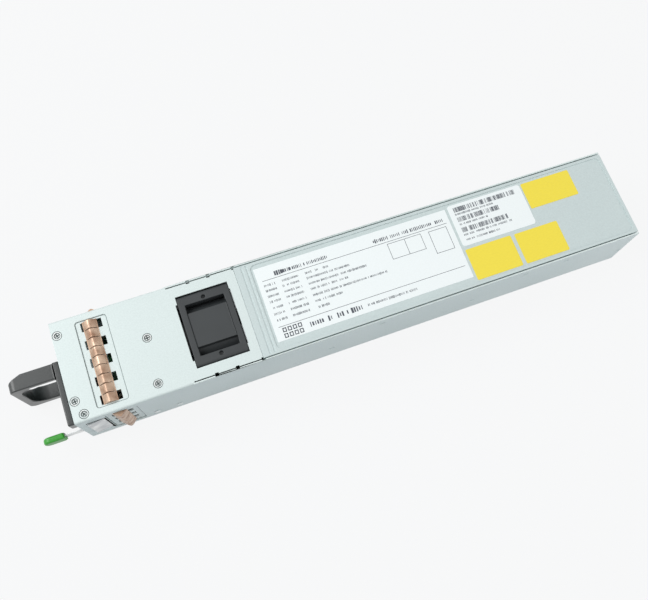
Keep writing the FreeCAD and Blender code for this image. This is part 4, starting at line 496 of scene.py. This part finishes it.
def loose_object(name, mesh):
    """An object in the scene that takes over a mesh under construction."""
    data = bpy.data.meshes.new(name)
    mesh.to_mesh(data)
    mesh.free()
    piece = bpy.data.objects.new(name, data)
    bpy.context.scene.collection.objects.link(piece)
    return piece


def baked(piece):
    """What an object's modifiers make of its mesh, as a plain mesh."""
    return bpy.data.meshes.new_from_object(
        piece.evaluated_get(bpy.context.evaluated_depsgraph_get()))


def row_tree():
    """A node tree that sets copies of a unit in a row, each stretched its own way."""
    tree = bpy.data.node_groups.new("Row of units", "GeometryNodeTree")
    for name, kind in (("Unit", "Object"), ("Count", "Int"), ("Start", "Vector"),
                       ("Step", "Vector"), ("Least stretch", "Vector"), ("Most stretch", "Vector"),
                       ("Share kept", "Float"), ("Seed", "Int"), ("Finish", "Material")):
        tree.interface.new_socket(name, in_out="INPUT", socket_type="NodeSocket" + kind)
    tree.interface.new_socket("Geometry", in_out="OUTPUT", socket_type="NodeSocketGeometry")
    given = add(tree, "NodeGroupInput").outputs
    line = add(tree, "GeometryNodeMeshLine", {"Count": given["Count"],
               "Start Location": given["Start"], "Offset": given["Step"]})
    kept = add(tree, "FunctionNodeRandomValue", {"Probability": given["Share kept"],
               "Seed": given["Seed"]}, data_type="BOOLEAN")
    stretch = add(tree, "FunctionNodeRandomValue", {"Min": given["Least stretch"],
                  "Max": given["Most stretch"], "Seed": given["Seed"]}, data_type="FLOAT_VECTOR")
    unit = add(tree, "GeometryNodeObjectInfo", {"Object": given["Unit"]})
    copies = add(tree, "GeometryNodeInstanceOnPoints", {"Points": line.outputs["Mesh"],
                 "Selection": kept.outputs[3], "Instance": unit.outputs["Geometry"],
                 "Scale": stretch.outputs["Value"]})
    solid = add(tree, "GeometryNodeRealizeInstances", {"Geometry": copies.outputs["Instances"]})
    painted = add(tree, "GeometryNodeSetMaterial", {"Geometry": solid.outputs["Geometry"],
                  "Material": given["Finish"]})
    add(tree, "NodeGroupOutput", {"Geometry": painted.outputs["Geometry"]})
    return tree


def add_row(mesh, unit, slot, count, start, step, least=(1, 1, 1), most=(1, 1, 1), kept=1.0,
            seed=0):
    """Adds a row of copies of a unit object to a mesh."""
    row = loose_object("row", bmesh.new())
    nodes = row.modifiers.new("Row", "NODES")
    nodes.node_group = ROW_TREE[0]
    values = {"Unit": unit, "Count": count, "Start": start, "Step": step, "Least stretch": least,
              "Most stretch": most, "Share kept": kept, "Seed": seed, "Finish": MATERIALS[slot]}
    for item in nodes.node_group.interface.items_tree:
        if item.in_out == "INPUT":
            nodes[item.identifier] = values[item.name]
    plain = baked(row)
    mesh.from_mesh(plain)
    bpy.data.objects.remove(row)
    bpy.data.meshes.remove(plain)


def make_piece(name, mesh, slot, body="root", stands_for=()):
    """An object from a mesh, riding on its body in place of the CAD bodies it stands for."""
    bmesh.ops.recalc_face_normals(mesh, faces=mesh.faces)
    piece = loose_object(name, mesh)
    piece.data.materials.append(MATERIALS[slot])
    piece.data.shade_smooth()
    piece.data.set_sharp_from_angle(angle=CREASE_ANGLE)
    flat_faces = piece.modifiers.new("Flat faces", "WEIGHTED_NORMAL")
    flat_faces.keep_sharp = True
    piece.data = baked(piece)
    piece.modifiers.clear()
    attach(piece, body)
    if stands_for:
        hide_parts(*stands_for)


def finished(node, width, steps=2):
    """A copy of a CAD body with its edges broken, standing for it."""
    mesh = cad_mesh(node)
    break_edges(mesh, width, steps)
    make_piece("finished_" + node, mesh, SLOT_OF[node], BODY_OF[node], [node])


def dress(*nodes):
    """Gives CAD bodies that stay as they are the materials of their slots."""
    for node in nodes:
        for slot in frame["nodes"][node].material_slots:
            slot.material = MATERIALS[SLOT_OF[node]]


def pour(source, target):
    """Moves a mesh under construction into another."""
    data = bpy.data.meshes.new("poured")
    source.to_mesh(data)
    source.free()
    target.from_mesh(data)
    bpy.data.meshes.remove(data)


def slab(mesh, x0, x1, y0, y1, z0, z1):
    """A box added to a mesh."""
    corner = Vector((x0, y0, z0))
    size = Vector((x1 - x0, y1 - y0, z1 - z0))
    middle = Matrix.Translation(corner + size / 2) @ Matrix.Diagonal((*size, 1))
    bmesh.ops.create_cube(mesh, size=1.0, matrix=middle)


# ---------------------------------------------------------------- operators
class SupplyOperator(bpy.types.Operator):
    """Shared part of the build steps"""
    bl_options = {"REGISTER", "UNDO"}

    @classmethod
    def poll(cls, context):
        return context.scene is not None

    def execute(self, context):
        self.build(context.scene.supply_sizes)
        return {"FINISHED"}


def strip_seat(sizes, node, tilt):
    """Where a contact strip drawn lying flat stands: tilt is its turn about the long axis."""
    low, high = (Vector(corner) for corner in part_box(node))
    middle = (low + high) / 2
    outer = {0: (0, 0, high.z), 90: (0, low.y, middle.z), -90: (0, high.y, middle.z)}[tilt]
    turn = Matrix.Rotation(math.radians(tilt), 4, "X")
    down = turn @ Vector((0, 0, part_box("contact_strip_top")[1][2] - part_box("chassis_shell")[1][2]
                          + sizes.recess_depth))
    return Matrix.Translation(Vector((low.x, 0, 0)) + Vector(outer) - down) @ turn


def rounded_loop(mesh, half_length, half_width, radius, z):
    """The points of a rounded rectangle around the middle."""
    loop, steps = [], 6
    for corner in range(4):
        sign_x = 1 if corner in (0, 3) else -1
        sign_y = 1 if corner < 2 else -1
        for step in range(steps + 1):
            turn = math.radians(90 * corner + 90 / steps * step)
            loop.append(mesh.verts.new((
                sign_x * (half_length - radius) + radius * math.cos(turn),
                sign_y * (half_width - radius) + radius * math.sin(turn), z)))
    return loop


def rounded_seam(half_length, half_width, radius, width, low, high):
    """A closed thin line around a rounded rectangle, from its outline inwards."""
    mesh = bmesh.new()
    loops = [rounded_loop(mesh, half_length - inset, half_width - inset, radius - inset, z)
             for inset, z in ((0, low), (0, high), (width, high), (width, low))]
    skin(mesh, loops + loops[:1])
    return mesh


class SUPPLY_OT_case(SupplyOperator):
    """Finish the case's sheets and lay thin lines of painted shade in the pressed corners around the
    strips' recesses
    """
    bl_idname = "supply.case"
    bl_label = "Case sheets"

    def build(self, sizes):
        for node in ("chassis_shell", "top_cover", "base_plate", "front_panel", "rear_panel"):
            finished(node, sizes.sheet_edge)
        # thin grey lines of painted shade along the pressed corners of the recesses
        seams = bmesh.new()
        for node, tilt in (("contact_strip_top", 0), ("contact_strip_near", 90),
                           ("contact_strip_far", -90)):
            low, high = (Vector(corner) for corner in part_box(node))
            along = max((high - low).y, (high - low).z)
            front, rear, line = sizes.recess_front, sizes.recess_rear, sizes.seam_line
            seam = rounded_seam((sizes.strip_width + front + rear) / 2,
                                along / 2 + sizes.recess_end, sizes.recess_radius,
                                line, 0, line / 4)
            seam.transform(strip_seat(sizes, node, tilt) @ Matrix.Translation(
                ((sizes.strip_width - front + rear) / 2, 0, 0)))
            pour(seam, seams)
        make_piece("recess_seams", seams, "crease_shade_zinc")


def ring_of(mesh, radius, z, steps):
    """A ring of points around the middle at a height."""
    turns = [2 * math.pi * step / steps for step in range(steps)]
    return [mesh.verts.new((radius * math.cos(turn), radius * math.sin(turn), z))
            for turn in turns]


def skin(mesh, rings):
    """Faces between neighbouring rings of points."""
    for low, high in zip(rings, rings[1:]):
        for step in range(len(low)):
            after = (step + 1) % len(low)
            mesh.faces.new((low[step], low[after], high[after], high[step]))


def lathe(mesh, profile, steps=40):
    """A turned skin around the middle; the profile is pairs of radius and height."""
    rings = [ring_of(mesh, radius, z, steps) for radius, z in profile]
    skin(mesh, rings)
    return rings


def cross_outline(mesh, arm, half, z):
    """The twelve corners of a cross recess at a height."""
    corners = ((arm, half), (half, half), (half, arm), (-half, arm), (-half, half), (-arm, half),
               (-arm, -half), (-half, -half), (-half, -arm), (half, -arm), (half, -half),
               (arm, -half))
    return [mesh.verts.new((x, y, z)) for x, y in corners]


def loop_edges(mesh, loop):
    """The edges that join the points of a loop, made where they are missing."""
    return [mesh.edges.get((loop[step - 1], loop[step]))
            or mesh.edges.new((loop[step - 1], loop[step])) for step in range(len(loop))]


def flat_ring(mesh, inner, outer, low, high):
    """A closed flat ring around the middle."""
    rings = lathe(mesh, ((inner, low), (outer, low), (outer, high), (inner, high)))
    skin(mesh, (rings[-1], rings[0]))


CROSS = ((0.66, 0.22, 1), (0.46, 0.12, 3))  # arm and half width in dishes, depth in grooves


def cross_head_screw(sizes):
    """A countersunk screw with a turned rim, a dish and a tapered cross recess, top at z = 0."""
    mesh = bmesh.new()
    head, fine, groove = sizes.screw_head / 2, sizes.fine_edge, sizes.screw_groove
    rim, dish = head - groove, sizes.screw_dish / 2
    rings = lathe(mesh, ((sizes.screw_shank / 2, -sizes.screw_length),
                         (sizes.screw_shank / 2, -sizes.screw_sink),
                         (head, -groove), (rim, -groove), (rim, -fine), (rim - fine, 0),
                         (dish + fine, 0), (dish, -fine), (dish - groove, -groove)))
    mesh.faces.new(rings[0])
    recess = [cross_outline(mesh, arm * dish, half * dish, -depth * groove)
              for arm, half, depth in CROSS]
    skin(mesh, recess)
    mesh.faces.new(recess[1])
    bmesh.ops.triangle_fill(mesh, use_beauty=True, use_dissolve=False,
                            edges=loop_edges(mesh, rings[-1]) + loop_edges(mesh, recess[0]))
    return mesh


def screw_shadows(sizes):
    """Painted shade, with some dirt, in a screw's seam, around its dish and deep in its recess."""
    mesh = bmesh.new()
    head, fine, groove = sizes.screw_head / 2, sizes.fine_edge, sizes.screw_groove
    dish = sizes.screw_dish / 2
    flat_ring(mesh, head - groove, head, -groove, -fine)
    flat_ring(mesh, dish - groove, dish, -1.2 * groove, -fine / 2)
    flat_ring(mesh, fine, 0.62 * dish, -2 * groove, -1.3 * groove)
    return mesh


class SUPPLY_OT_fasteners(SupplyOperator):
    """Make the deck screws, each turned its own way, and finish the other screws and rivets"""
    bl_idname = "supply.fasteners"
    bl_label = "Screws and rivets"

    def build(self, sizes):
        chance = random.Random(4)
        heads = cad_mesh("deck_screws")
        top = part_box("deck_screws")[1][2]
        screws, shadows = bmesh.new(), bmesh.new()
        for place in sorted((middle_of(part) for part in islands(heads)), key=tuple):
            turn = Matrix.Rotation(chance.uniform(0, math.pi / 2), 4, "Z")
            for made, target in ((cross_head_screw(sizes), screws), (screw_shadows(sizes), shadows)):
                made.transform(Matrix.Translation((place.x, place.y, top)) @ turn)
                pour(made, target)
        heads.free()
        make_piece("cross_head_deck_screws", screws, "screw_steel", "root", ["deck_screws"])
        # dark rings of painted shade, with some dirt, in the screws' seams and recesses
        make_piece("screw_seams", shadows, "dirt_and_shade")
        for node in ("base_rivets", "latch_rivets", "bezel_screws"):
            finished(node, sizes.fine_edge)


def arched_finger(sizes, length):
    """One sprung finger lying along y: arched across, drawn down a little at its ends."""
    mesh = bmesh.new()
    half, sheet, steps, shoulder = sizes.strip_width / 2, sizes.strip_sheet, 14, 0.9
    ribs = []
    for end, droop in ((-1, sheet), (-shoulder, 0), (shoulder, 0), (1, sheet)):
        arch = []
        for step in range(steps + 1):
            across = 2 * step / steps - 1
            rise = (1 - abs(across) ** sizes.finger_crown) * sizes.strip_height
            arch.append(mesh.verts.new((half + across * (half - sheet), end * length / 2,
                                        max(rise - droop, 0))))
        ribs.append(arch)
    skin(mesh, ribs)
    mesh.faces.new(ribs[0])
    mesh.faces.new(ribs[-1][::-1])
    return mesh


class SUPPLY_OT_contacts(SupplyOperator):
    """Make the sprung contact strips: clipped rails with a row of arched fingers"""
    bl_idname = "supply.contacts"
    bl_label = "Contact strips"

    def build(self, sizes):
        for node, tilt, clips in (("contact_strip_top", 0, 5), ("contact_strip_near", 90, 3),
                                  ("contact_strip_far", -90, 3)):
            self.strip(sizes, node, tilt, clips)

    def strip(self, sizes, node, tilt, clips):
        low, high = (Vector(corner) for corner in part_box(node))
        along = max((high - low).y, (high - low).z)
        count = round(along / sizes.finger_pitch)
        pitch = along / count
        mesh = bmesh.new()
        width, sheet = sizes.strip_width, sizes.strip_sheet
        for x0, x1 in ((0, 3 * sheet), (width - 3 * sheet, width)):
            slab(mesh, x0, x1, -along / 2, along / 2, 0, sheet)
        for clip in range(clips):
            y = (clip - (clips - 1) / 2) * along / (clips - 1 + sizes.clip_margin)
            for x0 in (sheet / 2, width - 1.5 * sheet):
                slab(mesh, x0, x0 + sheet, y - sizes.clip / 2, y + sizes.clip / 2, -3 * sheet, 0)
        finger = loose_object("finger", arched_finger(sizes, pitch - sizes.finger_gap))
        add_row(mesh, finger, "contact_copper", count, (0, (pitch - along) / 2, sheet / 2),
                (0, pitch, 0))
        bpy.data.objects.remove(finger)
        mesh.transform(strip_seat(sizes, node, tilt))
        make_piece("fingers_" + node.split("_")[-1], mesh, "contact_copper", "root", [node])


class SUPPLY_OT_front(SupplyOperator):
    """Finish the handle, its bezel and the mains inlet"""
    bl_idname = "supply.front"
    bl_label = "Handle and inlet"

    def build(self, sizes):
        finished("handle_bezel", sizes.grip_edge, steps=4)
        finished("ac_inlet_housing", sizes.plastic_edge, steps=3)
        finished("inlet_pins", sizes.plastic_edge, steps=3)
        dress("light_pipes", "status_leds", "light_board")


class SUPPLY_OT_latch(SupplyOperator):
    """Finish the sprung strip and its release tab"""
    bl_idname = "supply.latch"
    bl_label = "Latch"

    def build(self, sizes):
        finished("latch_spring", sizes.fine_edge)
        finished("latch_tab", sizes.tab_edge, steps=4)
        dress("latch_seat")


class SUPPLY_OT_fan(SupplyOperator):
    """Finish the fan, its guard and its lead"""
    bl_idname = "supply.fan"
    bl_label = "Fan"

    def build(self, sizes):
        finished("fan_frame", sizes.plastic_edge)
        finished("fan_rotor", sizes.fine_edge)
        dress("fan_guard", "fan_screws", "fan_bulkhead", "fan_lead", "fan_plug", "fan_header")


class LabelPrint:
    """Meaningless print on a label; places are shares of the label's length and height."""
    PITCH = 0.42            # distance, least width and least height of a mark in print sizes
    NARROWEST = 0.12
    LOWEST = 0.55
    SHARE_KEPT = 0.84       # the marks left out make the gaps between groups

    def __init__(self, node, sizes, seed):
        self.low, self.high = (Vector(corner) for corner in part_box(node))
        self.mesh = bmesh.new()
        self.height = sizes.print_height
        self.seed = seed
        self.stroke = bmesh.new()
        slab(self.stroke, -0.5, 0.5, -0.5, 0.5, -0.5, 0.5)
        self.stroke = loose_object("stroke", self.stroke)

    def at(self, along, up):
        """The place on the label's face at shares of its length and height."""
        return Vector((self.low.x + along * (self.high.x - self.low.x),
                       self.low.y + up * (self.high.y - self.low.y), self.high.z))

    def bar(self, along, up, length, height):
        """A solid bar in metres, with its lower left corner at a place."""
        x, y, z = self.at(along, up)
        slab(self.mesh, x, x + length, y, y + height, z - self.height, z + self.height)

    def frame(self, along, up, length, height, line):
        """An empty box of thin lines."""
        far_along = along + (length - line) / (self.high.x - self.low.x)
        far_up = up + (height - line) / (self.high.y - self.low.y)
        for start, rise in ((along, up), (along, far_up)):
            self.bar(start, rise, length, line)
        for start in (along, far_along):
            self.bar(start, up, line, height)

    def row(self, along, up, length, pitch, least, most, kept):
        """Upright strokes in a row, least and most being their width and height in metres."""
        self.seed += 1
        start = self.at(along, up)
        add_row(self.mesh, self.stroke, "label_ink", int(length / pitch), start, (pitch, 0, 0),
                (*least, 2 * self.height), (*most, 2 * self.height), kept, self.seed)

    def words(self, along, up, length, size, weight=0.3):
        """A line of small marks in groups, like print too small to read."""
        self.row(along, up, length, size * self.PITCH, (size * self.NARROWEST, size * self.LOWEST),
                 (size * weight, size), self.SHARE_KEPT)

    def finish(self, name):
        bpy.data.objects.remove(self.stroke)
        make_piece(name, self.mesh, "label_ink")


class SUPPLY_OT_labels(SupplyOperator):
    """Finish the labels on the cover and lay meaningless print on the white ones"""
    bl_idname = "supply.labels"
    bl_label = "Labels"

    def build(self, sizes):
        for node in ("rating_label", "serial_label", "yellow_labels"):
            finished(node, sizes.print_height)
        self.rating(LabelPrint("rating_label", sizes, 10))
        self.serial(LabelPrint("serial_label", sizes, 80))

    def rating(self, ink):
        thin = 0.25 * MM
        for up in (0.81, 0.177):
            ink.bar(0.024, up, 107.8 * MM, thin)
        ink.words(0.093, 0.87, 9.5 * MM, 2.8 * MM, 0.5)
        ink.words(0.181, 0.87, 20.5 * MM, 2.2 * MM)
        ink.words(0.598, 0.87, 43 * MM, 2.4 * MM)
        for up, ends in ((0.747, 36.5), (0.676, 48), (0.598, 57), (0.523, 45), (0.437, 66),
                         (0.355, 39), (0.27, 30)):
            ink.words(0.026, up, 6.5 * MM, 1.5 * MM)
            ink.words(0.109, up, 10.5 * MM, 1.5 * MM)
            ink.words(0.23, up, (ends - 23) * MM, 1.5 * MM)
        ink.frame(0.657, 0.56, 20 * MM, 9.5 * MM, thin)
        ink.bar(0.746, 0.56, thin, 9.5 * MM)
        ink.frame(0.875, 0.45, 10.9 * MM, 13.7 * MM, thin)
        for up in (0.024, 0.1):
            for block in range(4):
                ink.frame(0.038 + 0.025 * block, up, 2.1 * MM, 2.4 * MM, 2 * thin)
        for along, length in ((0.171, 8.3), (0.262, 3), (0.307, 15)):
            ink.words(along, 0.09, length * MM, 3.2 * MM, 0.4)
        ink.words(0.46, 0.09, 30 * MM, 1.6 * MM)
        ink.finish("rating_print")

    def serial(self, ink):
        for up, length in ((0.87, 38.9), (0.63, 26.3), (0.37, 28.8)):
            ink.row(0.072, up, length * MM, 0.55 * MM, (0.12 * MM, 2.9 * MM),
                    (0.5 * MM, 2.9 * MM), 0.85)
        for up, length in ((0.76, 24), (0.51, 18), (0.25, 30), (0.13, 22)):
            ink.words(0.072, up, length * MM, 1.4 * MM)
        ink.finish("serial_print")


class SUPPLY_OT_rear(SupplyOperator):
    """Finish the output connector"""
    bl_idname = "supply.rear"
    bl_label = "Output connector"

    def build(self, sizes):
        finished("output_connector", sizes.plastic_edge)
        finished("connector_blades", sizes.fine_edge)


class SUPPLY_OT_electronics(SupplyOperator):
    """Give every CAD body that is still shown as it is its material, the boards among them"""
    bl_idname = "supply.electronics"
    bl_label = "Electronics"

    def build(self, sizes):
        dress(*[node for node in SLOT_OF if not frame["nodes"][node].hide_render])


class SUPPLY_OT_stage(bpy.types.Operator):
    """Set the floor, the lamps and the camera"""
    bl_idname = "supply.stage"
    bl_label = "Stage"

    def execute(self, context):
        stage = context.scene.supply_stage
        lay_floor(context.scene.supply_colours.floor, stage.whiteness)
        soft_surroundings(stage.sky)
        hang_lamp("overhead_lamp", Vector(stage.key_at), stage.key_side, stage.key)
        hang_lamp("side_lamp", Vector(stage.fill_at), stage.fill_side, stage.fill)
        stand_camera(stage)
        return {"FINISHED"}


def background_rays(tree):
    """One for rays that show the background: the camera's, reflections and what glass shows."""
    path = add(tree, "ShaderNodeLightPath").outputs
    seen = add(tree, "ShaderNodeMath", {0: path["Is Camera Ray"], 1: path["Is Glossy Ray"]},
               operation="MAXIMUM").outputs[0]
    return add(tree, "ShaderNodeMath", {0: seen, 1: path["Is Transmission Ray"]},
               operation="MAXIMUM").outputs[0]


def lay_floor(tint, whiteness):
    """A plain matt floor, shown nearer white as background while it keeps the shadow."""
    mesh = bpy.data.meshes.new("floor")
    side, patches, drop = 3.0, 400.0, 0.2 * MM
    mesh.from_pydata([(-side, -side, 0), (side, -side, 0), (side, side, 0), (-side, side, 0)], [],
                     [(0, 1, 2, 3)])
    material, tree, shader = new_material("floor_paint", Roughness=0.9)
    mottle = ramp(tree, cloud(tree, patches), (0.3, rgba(tint, 0.99)), (0.7, rgba(tint, 1.01)))
    tree.links.new(mottle, shader.inputs["Base Color"])
    share = add(tree, "ShaderNodeMath", {0: background_rays(tree), 1: whiteness},
                operation="MULTIPLY").outputs[0]
    white = add(tree, "ShaderNodeEmission", {"Color": (1, 1, 1, 1), "Strength": 1.0})
    mixed = add(tree, "ShaderNodeMixShader", {0: share, 1: shader.outputs[0], 2: white.outputs[0]})
    tree.links.new(mixed.outputs[0], tree.nodes["Material Output"].inputs["Surface"])
    mesh.materials.append(material)
    floor = bpy.data.objects.new("floor", mesh)
    floor.location.z = CAD_BOX[0][2] - drop
    bpy.context.scene.collection.objects.link(floor)


def soft_surroundings(level):
    """White as background; for all other light, bright overhead and dim at the horizon."""
    world = bpy.data.worlds.new("studio")
    world.use_nodes = True
    tree = world.node_tree
    direction = add(tree, "ShaderNodeTexCoord").outputs["Generated"]
    height = add(tree, "ShaderNodeSeparateXYZ", {"Vector": direction}).outputs["Z"]
    dome = ramp(tree, height, (0.0, (0.1, 0.1, 0.1, 1)), (0.9, (1, 1, 1, 1)))
    soft = tree.nodes["Background"]
    soft.inputs["Strength"].default_value = level
    tree.links.new(dome, soft.inputs["Color"])
    white = add(tree, "ShaderNodeBackground", {"Strength": 1.0, "Color": (1, 1, 1, 1)})
    mixed = add(tree, "ShaderNodeMixShader", {0: background_rays(tree), 1: soft.outputs[0],
                2: white.outputs[0]})
    tree.links.new(mixed.outputs[0], tree.nodes["World Output"].inputs["Surface"])
    bpy.context.scene.world = world


def hang_lamp(name, place, side, power):
    """A square soft lamp that faces the supply."""
    lamp = bpy.data.lights.new(name, "AREA")
    lamp.size = side
    lamp.energy = power
    holder = bpy.data.objects.new(name, lamp)
    holder.location = place
    holder.rotation_euler = (-place).to_track_quat("-Z", "Y").to_euler()
    bpy.context.scene.collection.objects.link(holder)


def stand_camera(stage):
    """The camera above and in front of the near side."""
    camera = bpy.data.cameras.new("camera")
    camera.lens = stage.lens
    camera.shift_x, camera.shift_y = stage.shift
    camera.clip_start = 0.01
    holder = bpy.data.objects.new("camera", camera)
    holder.location = stage.camera_at
    holder.rotation_euler = stage.camera_turn
    bpy.context.scene.collection.objects.link(holder)
    bpy.context.scene.camera = holder


class SUPPLY_PT_panel(bpy.types.Panel):
    """Settings and build steps of the power supply"""
    bl_label = "Power Supply"
    bl_idname = "SUPPLY_PT_panel"
    bl_space_type = "VIEW_3D"
    bl_region_type = "UI"
    bl_category = "Power Supply"

    def draw(self, context):
        for step in STEPS:
            self.layout.operator(step.bl_idname)
        for group in (context.scene.supply_sizes, context.scene.supply_stage,
                      context.scene.supply_colours):
            box = self.layout.box()
            for name in group.bl_rna.properties.keys():
                if name not in ("name", "rna_type"):
                    box.prop(group, name)


STEPS = (SUPPLY_OT_case, SUPPLY_OT_fasteners, SUPPLY_OT_contacts, SUPPLY_OT_front, SUPPLY_OT_latch,
         SUPPLY_OT_fan, SUPPLY_OT_labels, SUPPLY_OT_rear, SUPPLY_OT_electronics, SUPPLY_OT_stage)
CLASSES = (SupplyColours, SupplySizes, SupplyStage, *STEPS, SUPPLY_PT_panel)


def register():
    for item in CLASSES:
        bpy.utils.register_class(item)
    bpy.types.Scene.supply_colours = PointerProperty(type=SupplyColours)
    bpy.types.Scene.supply_sizes = PointerProperty(type=SupplySizes)
    bpy.types.Scene.supply_stage = PointerProperty(type=SupplyStage)


def unregister():
    del bpy.types.Scene.supply_stage
    del bpy.types.Scene.supply_sizes
    del bpy.types.Scene.supply_colours
    for item in reversed(CLASSES):
        bpy.utils.unregister_class(item)


def main():
    register()
    bpy.context.scene.view_settings.view_transform = "Standard"
    ROW_TREE[:] = [row_tree()]
    MATERIALS.update(make_materials(bpy.context.scene.supply_colours))
    for step in STEPS:
        group, name = step.bl_idname.split(".")
        getattr(getattr(bpy.ops, group), name)()


if __name__ == "__main__":
    main()
